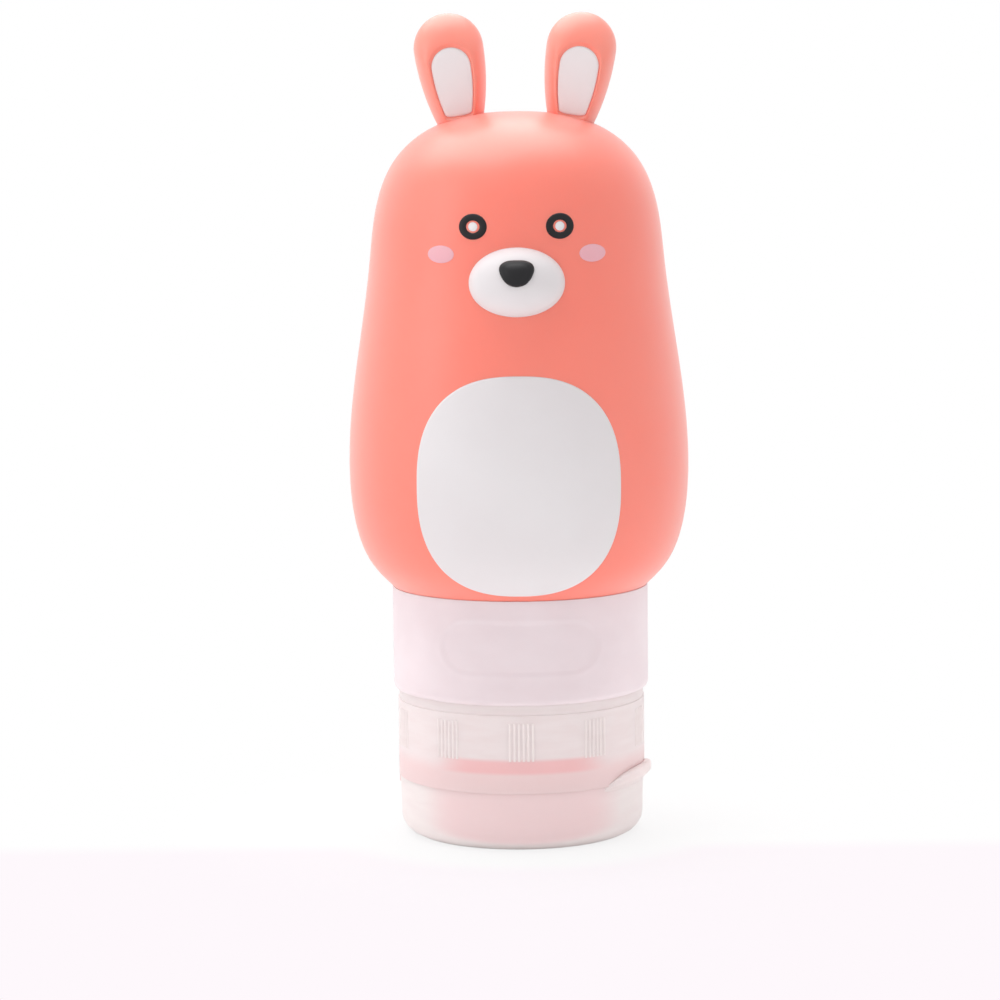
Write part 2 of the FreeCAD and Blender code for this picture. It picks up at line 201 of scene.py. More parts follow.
class Paint(Graph):
    """The node tree of one material."""

    def __init__(self, name: str) -> None:
        """Starts an empty material.

        Args:
            name: the material's name.
        """
        self.material = bpy.data.materials.new(name)
        self.material.use_nodes = True
        super().__init__(self.material.node_tree)
        self.place = self.node("ShaderNodeTexCoord", {}, {}, "Object")

    def above(self, level: float, fade: float) -> Socket:
        """Gives 1 above a height and 0 below it, with a fade on each side, all in millimetres."""
        return (self.axis(self.place, "Z") / MM).step(level - fade, level + fade)

    def grain(self, height: Socket, depth: float, strength: float) -> Socket:
        """Turns a height between 0 and 1, as deep as so many millimetres, into a normal."""
        inputs = {"Height": height, "Distance": depth * MM, "Strength": strength}
        return self.node("ShaderNodeBump", {}, inputs)

    def finish(self, shader: Socket) -> bpy.types.Material:
        """Ends the tree in the given shader."""
        self.end("ShaderNodeOutputMaterial", shader)
        return self.material


def linear(code: str) -> tuple[float, ...]:
    """Turns a screen colour of six hexadecimal digits into a linear one with full cover."""
    screen = Color([share / 255 for share in bytes.fromhex(code)])
    return (*screen.from_srgb_to_scene_linear(), 1.0)


@dataclass(frozen=True)
class Silicone:
    """Cured silicone rubber with a satin skin and light that soaks in at its edges."""

    slot: str
    colour: str
    cloud_colour: str
    roughness: float = 0.46
    soak: float = 0.25
    soak_depth: float = 2.5
    soak_tint: Point = (1.0, 0.35, 0.25)
    bloom: float = 0.10
    gloss: float = 0.5
    film: float = 0.0
    cloud_size: float = 22.0
    cloud_edges: Flat = (0.3, 0.7)
    touch_size: float = 22.0 / 3
    touch_roughness: float = 0.10
    grain_size: float = 0.16
    grain_depth: float = 0.02
    grain_share: float = 0.35
    grain_roughness: float = 0.05

    def material(self, name: str) -> bpy.types.Material:
        """Builds the nodes.

        Args:
            name: the material's name.

        Returns:
            The material.
        """
        paint = Paint(name)
        cloud = paint.noise(paint.place, self.cloud_size, 3.0).step(*self.cloud_edges)
        grain = paint.noise(paint.place, self.grain_size, 1.0)
        touch = paint.noise(paint.place, self.touch_size, 2.0)
        uneven = (touch - 0.5) * self.touch_roughness + (grain - 0.5) * self.grain_roughness
        inputs = {
            "Base Color": paint.mix(cloud, linear(self.colour), linear(self.cloud_colour)),
            "Roughness": self.roughness + uneven,
            "Normal": paint.grain(grain, self.grain_depth, self.grain_share),
            "IOR": 1.41,
            "Specular IOR Level": self.gloss,
            "Subsurface Weight": self.soak,
            "Subsurface Radius": self.soak_tint,
            "Subsurface Scale": self.soak_depth * MM,
            "Sheen Weight": self.bloom,
            "Sheen Roughness": 0.45,
            "Coat Weight": self.film,
            "Coat Roughness": 0.38,
        }
        return paint.finish(paint.node("ShaderNodeBsdfPrincipled", {}, inputs))


@dataclass(frozen=True)
class NeckGlow:
    """Painted light in clear plastic, standing in for light from the soft coral neck in it: a painted
    pink blush below a height, and a painted band of the lit lip seen through the wall.
    """

    # blush: painted pink light from the coral neck, not a dye of the plastic
    blush: str
    blush_share: float
    blush_top: float = 13.0
    blush_fade: float = 1.5
    edge_share: float = 1.0
    # band: painted colour of the lit coral lip seen through the wall
    band: str = "FEC2C3"
    band_share: float = 0.0
    band_low: float = 12.2
    band_high: float = 14.3
    band_fade: float = 0.4
    slants: Flat = (0.1, 0.32)

    def blushed(self, paint: Paint, plain: Socket, share: float) -> Socket:
        """Lays a share of the painted pink light on the plastic's own colour."""
        below = 1 - paint.above(self.blush_top, self.blush_fade)
        return paint.mix(below * (self.blush_share * share), plain, linear(self.blush))

    def banded(self, paint: Paint, colour: Socket) -> Socket:
        """Lays the painted band of the lit coral lip, seen through the wall, on a colour."""
        low, high = (paint.above(level, self.band_fade) for level in (self.band_low, self.band_high))
        return paint.mix(low * (1 - high) * self.band_share, colour, linear(self.band))


@dataclass(frozen=True)
class MilkyPlastic:
    """Moulded translucent plastic, clear or milky, with faint flow marks round the axis.

    Where it is faced squarely it shows painted light from the neck inside it, a pink blush and the lit
    lip's band, and at a slant its own haze.
    """

    slot: str
    colour: str
    cloud_colour: str
    cover: float
    edge_cover: float
    roughness: float = 0.36
    soak: float = 0.3
    soak_depth: float = 3.0
    soak_tint: Point = (1.0, 0.9, 0.9)
    gloss: float = 0.25
    glow: NeckGlow | None = None
    flow_size: float = 6.0
    flow_stretch: float = 5.0
    flow_depth: float = 0.012
    flow_share: float = 0.3
    flow_edges: Flat = (0.25, 0.75)
    haze_size: float = 1.2
    haze_roughness: float = 0.12
    cover_slants: Flat = (0.08, 0.5)

    def material(self, name: str) -> bpy.types.Material:
        """Builds the nodes.

        Args:
            name: the material's name.

        Returns:
            The material.
        """
        paint = Paint(name)
        scale = {"Vector": paint.place, "Scale": (1.0, 1.0, self.flow_stretch)}
        flow = paint.noise(paint.node("ShaderNodeMapping", {}, scale), self.flow_size, 3.0)
        haze = paint.noise(paint.place, self.haze_size, 2.0)
        slant = paint.node("ShaderNodeLayerWeight", {}, {"Blend": 0.5}, "Facing")
        cloud = flow.step(*self.flow_edges)
        plain = paint.mix(cloud, linear(self.colour), linear(self.cloud_colour))
        inputs = {
            "Roughness": self.roughness + (haze - 0.5) * self.haze_roughness,
            "Normal": paint.grain(flow, self.flow_depth, self.flow_share),
            "Alpha": self.cover + slant.step(*self.cover_slants) * (self.edge_cover - self.cover),
            "IOR": 1.49,
            "Specular IOR Level": self.gloss,
            "Subsurface Weight": self.soak,
            "Subsurface Radius": self.soak_tint,
            "Subsurface Scale": self.soak_depth * MM,
        }

        def skin(colour: Socket) -> Socket:
            """Gives the plastic in one colour."""
            return paint.node("ShaderNodeBsdfPrincipled", {}, {"Base Color": colour, **inputs})

        if self.glow is None:
            return paint.finish(skin(plain))
        # tinted carries the painted neck light, blush and lip band; hazy keeps only a share of the
        # painted blush
        tinted = skin(self.glow.banded(paint, self.glow.blushed(paint, plain, 1.0)))
        hazy = skin(self.glow.blushed(paint, plain, self.glow.edge_share))
        shaders = {0: slant.step(*self.glow.slants), 1: tinted, 2: hazy}
        return paint.finish(paint.node("ShaderNodeMixShader", {}, shaders))


PALE = {"roughness": 0.5, "soak": 0.2, "soak_depth": 1.5, "soak_tint": (1.0, 0.9, 0.9)}
ROSY = {**PALE, "soak_tint": (1.0, 0.6, 0.6)}
SATIN = {"soak_depth": 2.0, "gloss": 0.12}
# painted pink light from the coral neck on the cap and the lid, and the cap's painted band of the lit lip
CAP_NECK_LIGHT_PAINT = NeckGlow("F9DADA", 0.9, band_share=0.8)
FOOT_NECK_LIGHT_PAINT = NeckGlow("FBDCDD", 0.95, blush_top=20.0, edge_share=0.1, slants=(0.18, 0.48))
FROST = {"soak_depth": 1.5, "flow_size": 9.0, "flow_stretch": 1.5, "flow_depth": 0.02}


class Finish(Enum):
    """Finishes of the pieces, each named for what it is on."""

    CORAL = Silicone("coral_silicone", "FE7E6C", "FF8270", 0.4, bloom=0.22, gloss=0.85, film=0.4)
    # the same coral made lighter on the thin ears: painted light standing in for light passing through
    # them
    LOBE = Silicone("coral_silicone", "FF8D7B", "FF917F", 0.4, bloom=0.3, gloss=0.9, film=0.45)
    WHITE = Silicone("white_silicone", "E5E0E2", "E1DBDD", **PALE)
    INLAY = Silicone("white_silicone", "F1EDEF", "EDE8EA", **PALE)
    BLACK = Silicone("black_silicone", "161518", "1C1B1E", 0.4, 0.0, gloss=0.4, bloom=0.02)
    PINK = Silicone("pink_silicone", "F1B6C0", "EEADB7", **ROSY)
    NATURAL = MilkyPlastic("natural_plastic", "FBF7F7", "F7F0F1", 0.9, 1.0, 0.4)
    FROSTED = MilkyPlastic("frosted_plastic", "EDDFE3", "E9DADE", 0.94, 1.0, 0.42, 0.35, **FROST)
    # CLEAR and FOOT carry the painted neck light
    CLEAR = MilkyPlastic("clear_plastic", "F8EBEB", "F5E6E6", 0.85, 0.87, glow=CAP_NECK_LIGHT_PAINT, **SATIN)
    FOOT = MilkyPlastic("clear_plastic", "F9F0EE", "F6EBEA", 0.87, 0.89, glow=FOOT_NECK_LIGHT_PAINT, **SATIN)
    TAB = MilkyPlastic("clear_plastic", "FBEBEA", "F8E6E5", 0.9, 0.92, **SATIN)
    RIB = MilkyPlastic("clear_plastic", "F0E5E4", "EDE1E0", 1.0, 1.0, 0.3, 0.0)
    VALVE = Silicone("clear_silicone", "EFE9E9", "E7E0E0", 0.4, 0.35, 2.0, (1.0, 0.9, 0.85))

    @property
    def material(self) -> bpy.types.Material:
        """Gives the finish's material, built at its first use."""
        name = self.name.lower()
        return bpy.data.materials.get(name) or self.value.material(name)


@dataclass
class Draft:
    """Points and faces of a piece in millimetres, before they become a mesh."""

    points: list[Point] = field(default_factory=list)
    faces: list[tuple[int, ...]] = field(default_factory=list)

    def ring(self, points: Iterable[Point]) -> range:
        """Adds points and gives their numbers.

        Args:
            points: the points.

        Returns:
            Their numbers.
        """
        first = len(self.points)
        self.points.extend(points)
        return range(first, len(self.points))

    def bridge(self, first: range, second: range, wraps: bool = True) -> None:
        """Joins a row to the row on its left, seen from outside, with four-sided faces."""
        sides = list(zip(first, [*first[1:], first[0]], [*second[1:], second[0]], second))
        self.faces += sides if wraps else sides[:-1]

    def sheet(self, rows: Sequence[range], closed: bool = False, wraps: bool = True) -> None:
        """Joins rows one after the other.

        Args:
            rows: the rows, each to the left of the one before it, seen from outside.
            closed: whether the last row joins the first.
            wraps: whether each row closes on itself.
        """
        after = [*rows[1:], rows[0]] if closed else rows[1:]
        for first, second in zip(rows, after):
            self.bridge(first, second, wraps)

    def fan(self, ring: range, tip: Point) -> None:
        """Closes a ring, counterclockwise as seen from outside, with a point."""
        end = self.ring([tip])[0]
        self.faces += [(end, a, b) for a, b in zip(ring, [*ring[1:], ring[0]])]

    def stack(self, rows: Iterable[Iterable[Point]], front: Point, back: Point) -> "Draft":
        """Joins rings to a form with a closed front and back.

        Args:
            rows: the points of each ring from front to back, counterclockwise from the front.
            front: the point that closes the first ring.
            back: the point that closes the last ring.

        Returns:
            The draft itself.
        """
        rings = [self.ring(row) for row in rows]
        self.fan(rings[0], front)
        self.sheet(rings[::-1])
        self.fan(rings[-1][::-1], back)
        return self

    def piece(self, name: str, crease: float = CREASE) -> bpy.types.Object:
        """Makes the mesh and its object.

        Args:
            name: the piece's name.
            crease: edges that turn by more degrees than this stay sharp.

        Returns:
            The object, linked to the scene.
        """
        mesh = bpy.data.meshes.new(name)
        mesh.from_pydata([tuple(c * MM for c in p) for p in self.points], [], self.faces)
        return shown(mesh, name, crease)

    def dressed(self, name: str, body: Body, finish: Finish, *nodes: str, crease: float = CREASE) -> None:
        """Makes the piece, dresses it and hangs it on its body."""
        settle(self.piece(name, crease), body, finish, *nodes)


def shown(mesh: bpy.types.Mesh, name: str, crease: float = CREASE) -> bpy.types.Object:
    """Shades a mesh smooth between its sharp edges and puts it in the scene.

    Args:
        mesh: the finished mesh.
        name: the piece's name.
        crease: edges that turn by more degrees than this stay sharp.

    Returns:
        The object.
    """
    mesh.validate()
    mesh.polygons.foreach_set("use_smooth", [True] * len(mesh.polygons))
    mesh.set_sharp_from_angle(angle=math.radians(crease))
    made = bpy.data.objects.new(name, mesh)
    bpy.context.scene.collection.objects.link(made)
    return made


def coat(piece: bpy.types.Object, finish: Finish) -> None:
    """Gives a piece or a solid one finish in place of any other."""
    piece.data.materials.clear()
    piece.data.materials.append(finish.material)


def settle(piece: bpy.types.Object, body: Body, finish: Finish, *nodes: str) -> None:
    """Dresses a piece, hangs it on its body and lets it stand for its solids.

    Args:
        piece: the finished piece.
        body: the body that it rides on.
        finish: what it is made of.
        nodes: the solids that it stands for.
    """
    coat(piece, finish)
    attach(piece, body.value)
    if nodes:
        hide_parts(*nodes)
    LOG.info("%s rides on %s in %s", piece.name, body.value, finish.value.slot)


def redress(node: str, finish: Finish) -> None:
    """Gives a solid whose shape is right a finish of its own."""
    coat(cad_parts[node], finish)
    LOG.info("%s keeps its solid in %s", node, finish.value.slot)


def spaced(start: float, end: float, count: int) -> list[float]:
    """Gives evenly spaced numbers, both ends among them."""
    return [start + (end - start) * i / (count - 1) for i in range(count)]


def around(count: int) -> list[float]:
    """Gives evenly spaced angles of a full turn."""
    return [math.tau * i / count for i in range(count)]


def turned(radius: float, bearing: float, height: float) -> Point:
    """Gives the point at a radius, a bearing in radians and a height."""
    return (radius * math.sin(bearing), -radius * math.cos(bearing), height)


def smooth(share: float) -> float:
    """Eases a share between 0 and 1 at both ends."""
    return share * share * (3 - 2 * share)


def softened(value: float, power: float) -> float:
    """Raises a number to a power and keeps its sign."""
    return math.copysign(abs(value) ** power, value)


def arc(before: Flat, corner: Flat, after: Flat, radius: float) -> list[Flat]:
    """Rounds one corner of an outline.

    Args:
        before: the point before the corner.
        corner: the corner itself.
        after: the point after the corner.
        radius: radius of the round, cut back where the sides are short.

    Returns:
        Points of the round, with one more on each side to keep the flats flat.
    """
    here = np.array(corner)
    sides = [np.array(end) - here for end in (before, after)]
    lengths = [float(np.linalg.norm(side)) for side in sides]
    back, on = (side / length for side, length in zip(sides, lengths))
    half = math.acos(max(-1.0, min(1.0, float(back @ on)))) / 2
    reach = min(radius / math.tan(half), *(ARC_SIDE_SHARE * length for length in lengths))
    way = (back + on) / np.linalg.norm(back + on)
    middle = here + way * math.hypot(reach, reach * math.tan(half))
    start, end = (here + side * reach - middle for side in (back, on))
    sweep = math.pi - 2 * half
    points = [here + back * reach * ARC_GUARD_SHARE]
    for turn in spaced(0.0, sweep, ARC_STEPS + 1):
        points.append(middle + (start * math.sin(sweep - turn) + end * math.sin(turn)) / math.sin(sweep))
    points.append(here + on * reach * ARC_GUARD_SHARE)
    return [(float(r), float(h)) for r, h in points]


def eased(corners: Sequence[Point], closed: bool) -> list[Flat]:
    """Rounds the corners of an outline.

    Args:
        corners: radius from the axis, height and rounding of each corner.
        closed: whether the last corner joins the first.

    Returns:
        The rounded outline.
    """
    line: list[Flat] = []
    count = len(corners)
    for i, (*corner, rounding) in enumerate(corners):
        if rounding > 0 and (closed or 0 < i < count - 1):
            line.extend(arc(corners[i - 1][:2], corner, corners[(i + 1) % count][:2], rounding))
        else:
            line.append(tuple(corner))
    return line


def divided(line: Sequence[Flat], longest: float, closed: bool) -> list[Flat]:
    """Divides the long runs of an outline.

    Args:
        line: the outline.
        longest: the longest run that stays whole.
        closed: whether the last point joins the first.

    Returns:
        The outline with its runs divided.
    """
    points: list[Flat] = []
    ends = list(line[1:]) + ([line[0]] if closed else [])
    for a, b in zip(line, ends):
        parts = max(1, math.ceil(math.dist(a, b) / longest))
        for k in range(parts):
            points.append((a[0] + (b[0] - a[0]) * k / parts, a[1] + (b[1] - a[1]) * k / parts))
    return points if closed else points + [line[-1]]


def lathe(line: Sequence[Flat], closed: bool, segments: int, shaping: Shaping | None = None) -> Draft:
    """Turns an outline round the axis.

    Args:
        line: radius and height of each point, upwards on the outside; ends on the axis become poles.
        closed: whether the last point joins the first.
        segments: faces round the axis.
        shaping: gives a new radius for a radius, height and bearing.

    Returns:
        The turned form.
    """
    draft = Draft()
    bearings = around(segments)
    rows = []
    for radius, height in line:
        if radius > ON_AXIS:
            radii = [shaping(radius, height, b) if shaping else radius for b in bearings]
            rows.append(draft.ring(turned(r, b, height) for r, b in zip(radii, bearings)))
    draft.sheet(rows, closed)
    poles = [(0.0, 0.0, height) for radius, height in line if radius <= ON_AXIS]
    if poles:
        draft.fan(rows[0][::-1], poles[0])
        draft.fan(rows[-1], poles[1])
    return draft


def moulded(
    corners: Sequence[Point],
    run: float,
    segments: int,
    closed: bool = True,
    shaping: Shaping | None = None,
) -> Draft:
    """Turns a cornered outline round the axis, with its corners rounded and its long runs divided."""
    return lathe(divided(eased(corners, closed), run, closed), closed, segments, shaping)


def swept(outlines: Sequence[Sequence[Flat]], bearings: Sequence[float]) -> Draft:
    """Carries a closed outline part of the way round the axis.

    Args:
        outlines: the outline at each bearing, all with as many points, upwards on the outside.
        bearings: the bearings in radians, growing.

    Returns:
        The form with its two ends closed.
    """
    draft = Draft()
    rows = []
    for corner in zip(*outlines):
        rows.append(draft.ring(turned(r, b, h) for (r, h), b in zip(corner, bearings)))
    draft.sheet(rows, True, False)
    draft.faces.append(tuple(row[0] for row in rows))
    draft.faces.append(tuple(row[-1] for row in reversed(rows)))
    return draft


def oval(half_width: float, half_height: float, count: int, squareness: float = 2.0) -> list[Flat]:
    """Gives an oval, counterclockwise from the front.

    Args:
        half_width: half its width.
        half_height: half its height.
        count: number of points.
        squareness: 2 for an ellipse, more for squarer shoulders.

    Returns:
        Offsets from its middle.
    """
    power = 2 / squareness
    turns = [math.tau * (i + 0.5) / count for i in range(count)]
    spots = ((softened(math.cos(a), power), softened(math.sin(a), power)) for a in turns)
    return [(x * half_width, y * half_height) for x, y in spots]


def looped(points: Sequence[Flat], between: int) -> list[Flat]:
    """Runs a smooth closed line through points.

    Args:
        points: the points.
        between: steps from each point to the next.

    Returns:
        The line's points.
    """
    line = []
    count = len(points)
    for i in range(count):
        a, b, c, d = (np.array(points[(i + k - 1) % count]) for k in range(4))
        for t in (k / between for k in range(between)):
            p = b + 0.5 * t * (c - a + t * (2 * a - 5 * b + 4 * c - d + t * (3 * (b - c) + d - a)))
            line.append(tuple(p.tolist()))
    return line


@dataclass(frozen=True)
class Pad:
    """Section of a pad with a rounded edge, which can be laid on a surface."""

    proud: float
    sunk: float
    edge: float
    steps: int
    dome: float = 0.0
    edge_turns: Flat = (15.0, 90.0)
    edge_steps: int = 6
    back_shares: Point = (1.0, 0.97, 0.9)

    def _rows(self, reach: float) -> list[Flat]:
        """Gives the pad's rows, from the middle of its front to the middle of its back.

        Args:
            reach: half the pad's smaller size.

        Returns:
            Share of the outline and lift of each row.
        """
        flat = 1 - self.edge / reach
        front = spaced(0.0, flat, self.steps)
        rows = [(s, self.proud + self.dome * (1 - (s / flat) ** 2)) for s in front]
        for turn in map(math.radians, spaced(*self.edge_turns, self.edge_steps)):
            rows.append((flat + (1 - flat) * math.sin(turn), self.proud * math.cos(turn)))
        side, corner, back = self.back_shares
        rows += [(side, -self.sunk / 2), (corner, -self.sunk)]
        return rows + [(s, -self.sunk) for s in spaced(back, 0.0, max(3, self.steps // 2))]

    def laid(self, surface: Surface, centre: Flat, outline: Sequence[Flat], reach: float) -> Draft:
        """Lays the pad on a surface.

        Args:
            surface: gives the point at x and z, lifted off the surface.
            centre: x and z of the pad's middle.
            outline: the pad's edge as offsets from its middle, counterclockwise from the front.
            reach: half the pad's smaller size.

        Returns:
            The closed pad.
        """
        x, z = centre
        (_, front), *rows, (_, back) = self._rows(reach)
        rings = [[surface(x + s * u, z + s * v, lift) for u, v in outline] for s, lift in rows]
        return Draft().stack(rings, surface(x, z, front), surface(x, z, back))


@dataclass
class Skin:
    """Outside of the squeeze body, a turned outline that ends in a flat shoulder."""

    belly_radius: float = 26.2
    height: float = 72.9
    shoulder: float = 38.7
    samples: int = 520
    outer_stride: int = 4
    inner_stride: int = 6
    floor_gap: float = 0.3
    axis_gap: float = 0.4
    shares: tuple[Flat, ...] = (
        (0.0, 1.0), (0.280, 0.992), (0.524, 0.961), (0.718, 0.897), (0.820, 0.807), (0.866, 0.684),
        (0.931, 0.515), (0.985, 0.367), (1.000, 0.257), (0.973, 0.144), (0.870, 0.0467), (0.748, 0.0),
    )

    def __post_init__(self) -> None:
        """Runs a smooth line through the outline's points, from the shoulder up to the crown."""
        half = [(r * self.belly_radius, self.shoulder + h * self.height) for r, h in self.shares]
        points = np.array([(-r, h) for r, h in reversed(half[1:])] + half)
        knots = np.concatenate(([0.0], np.cumsum(np.linalg.norm(np.diff(points, axis=0), axis=1))))
        places = np.linspace(knots[len(half) - 1], knots[-1], self.samples)[::-1]
        self.line = self._spline(knots, points, places)
        self.line[-1, 0] = 0.0
        slope = np.gradient(self.line, axis=0)
        slope /= np.linalg.norm(slope, axis=1)[:, None]
        self.normal = np.stack((slope[:, 1], -slope[:, 0]), axis=1)

    @staticmethod
    def _spline(knots: np.ndarray, points: np.ndarray, places: np.ndarray) -> np.ndarray:
        """Runs a natural cubic spline through points.

        Args:
            knots: distance along the line of each point.
            points: the points.
            places: distances at which the line is wanted.

        Returns:
            The line's points.
        """
        count = len(knots)
        gap = np.diff(knots)
        system = np.eye(count)
        right = np.zeros_like(points)
        for i in range(1, count - 1):
            system[i, i - 1:i + 2] = gap[i - 1], 2 * (gap[i - 1] + gap[i]), gap[i]
            rise = (points[i + 1] - points[i]) / gap[i] - (points[i] - points[i - 1]) / gap[i - 1]
            right[i] = 6 * rise
        bend = np.linalg.solve(system, right)
        span = np.clip(np.searchsorted(knots, places) - 1, 0, count - 2)
        width = gap[span][:, None]
        left = (knots[span + 1] - places)[:, None]
        ahead = (places - knots[span])[:, None]
        line = (bend[span] * left**3 + bend[span + 1] * ahead**3) / (6 * width)
        line += (points[span] / width - bend[span] * width / 6) * left
        return line + (points[span + 1] / width - bend[span + 1] * width / 6) * ahead

    def radius(self, height: float) -> float:
        """Gives the skin's radius at a height."""
        return float(np.interp(height, self.line[:, 1], self.line[:, 0]))

    def at(self, x: float, z: float, lift: float) -> Point:
        """Gives a point on the front.

        Args:
            x: how far to the right.
            z: how high.
            lift: how far off the skin.

        Returns:
            The point.
        """
        radius = self.radius(z)
        out, up = (float(np.interp(z, self.line[:, 1], n)) * lift for n in self.normal.T)
        depth = math.sqrt(max(radius**2 - x**2, 0.0))
        return (x + out * x / radius, -depth - out * depth / radius, z + up)

    def outside(self) -> list[Flat]:
        """Gives the outline from the shoulder to the crown."""
        line = self.line[::self.outer_stride]
        return [(float(r), float(h)) for r, h in line] + [(0.0, float(self.line[-1, 1]))]

    def inside(self, wall: float) -> list[Flat]:
        """Gives the hollow's outline from the crown down to the shoulder's wall.

        Args:
            wall: how thick the wall is.

        Returns:
            Radius and height of each point.
        """
        moved = (self.line - self.normal * wall)[::self.inner_stride]
        floor = self.shoulder + wall + self.floor_gap
        kept = [(float(r), float(h)) for r, h in moved if h > floor and r > self.axis_gap]
        return [(0.0, float(self.line[-1, 1]) - wall)] + kept[::-1]


@dataclass
class SqueezeBody:
    """Soft shell with its shoulder, its neck and the sealing lip, and the patch on its belly."""

    skin: Skin
    wall: float = 2.2
    segments: int = 192
    floor_ring: float = 4.0
    mouth_round: float = 1.2
    neck_bore: float = 12.2
    neck_radius: float = 14.4
    neck_round: float = 0.3
    lip_radius: float = 16.05
    lip_bottom: float = 11.95
    lip_top: float = 13.95
    lip_round: float = 0.4
    patch_half_width: float = 15.2
    patch_bottom: float = 39.7
    patch_top: float = 73.1
    patch_squareness: float = 2.5
    patch_points: int = 144
    patch_pad: Pad = Pad(0.22, 0.6, 0.35, 30)

    def build(self) -> None:
        """Builds the shell and the patch."""
        self.shell()
        self.patch()

    def shell(self) -> None:
        """Builds the hollow shell with its neck."""
        floor = self.skin.shoulder + self.wall
        outside = self.skin.outside()
        neck = [
            (self.neck_bore + self.floor_ring, floor, 0.0),
            (self.neck_bore, floor, self.mouth_round),
            (self.neck_bore, self.lip_bottom, self.neck_round),
            (self.lip_radius, self.lip_bottom, self.lip_round),
            (self.lip_radius, self.lip_top, self.lip_round),
            (self.neck_radius, self.lip_top, self.neck_round),
            (self.neck_radius, self.skin.shoulder, self.lip_round),
            (*outside[0], 0.0),
        ]
        line = self.skin.inside(self.wall) + eased(neck, False)[:-1] + outside
        draft = lathe(line, False, self.segments)
        draft.dressed("squeeze_shell", Body.BOTTLE, Finish.CORAL, "bottle_body", "bottle_neck")

    def patch(self) -> None:
        """Builds the pale patch on the belly."""
        width, height = self.patch_half_width, (self.patch_top - self.patch_bottom) / 2
        outline = oval(width, height, self.patch_points, self.patch_squareness)
        draft = self.patch_pad.laid(self.skin.at, (0.0, self.patch_bottom + height), outline, width)
        draft.dressed("belly_inlay", Body.BOTTLE, Finish.WHITE, "belly_patch")


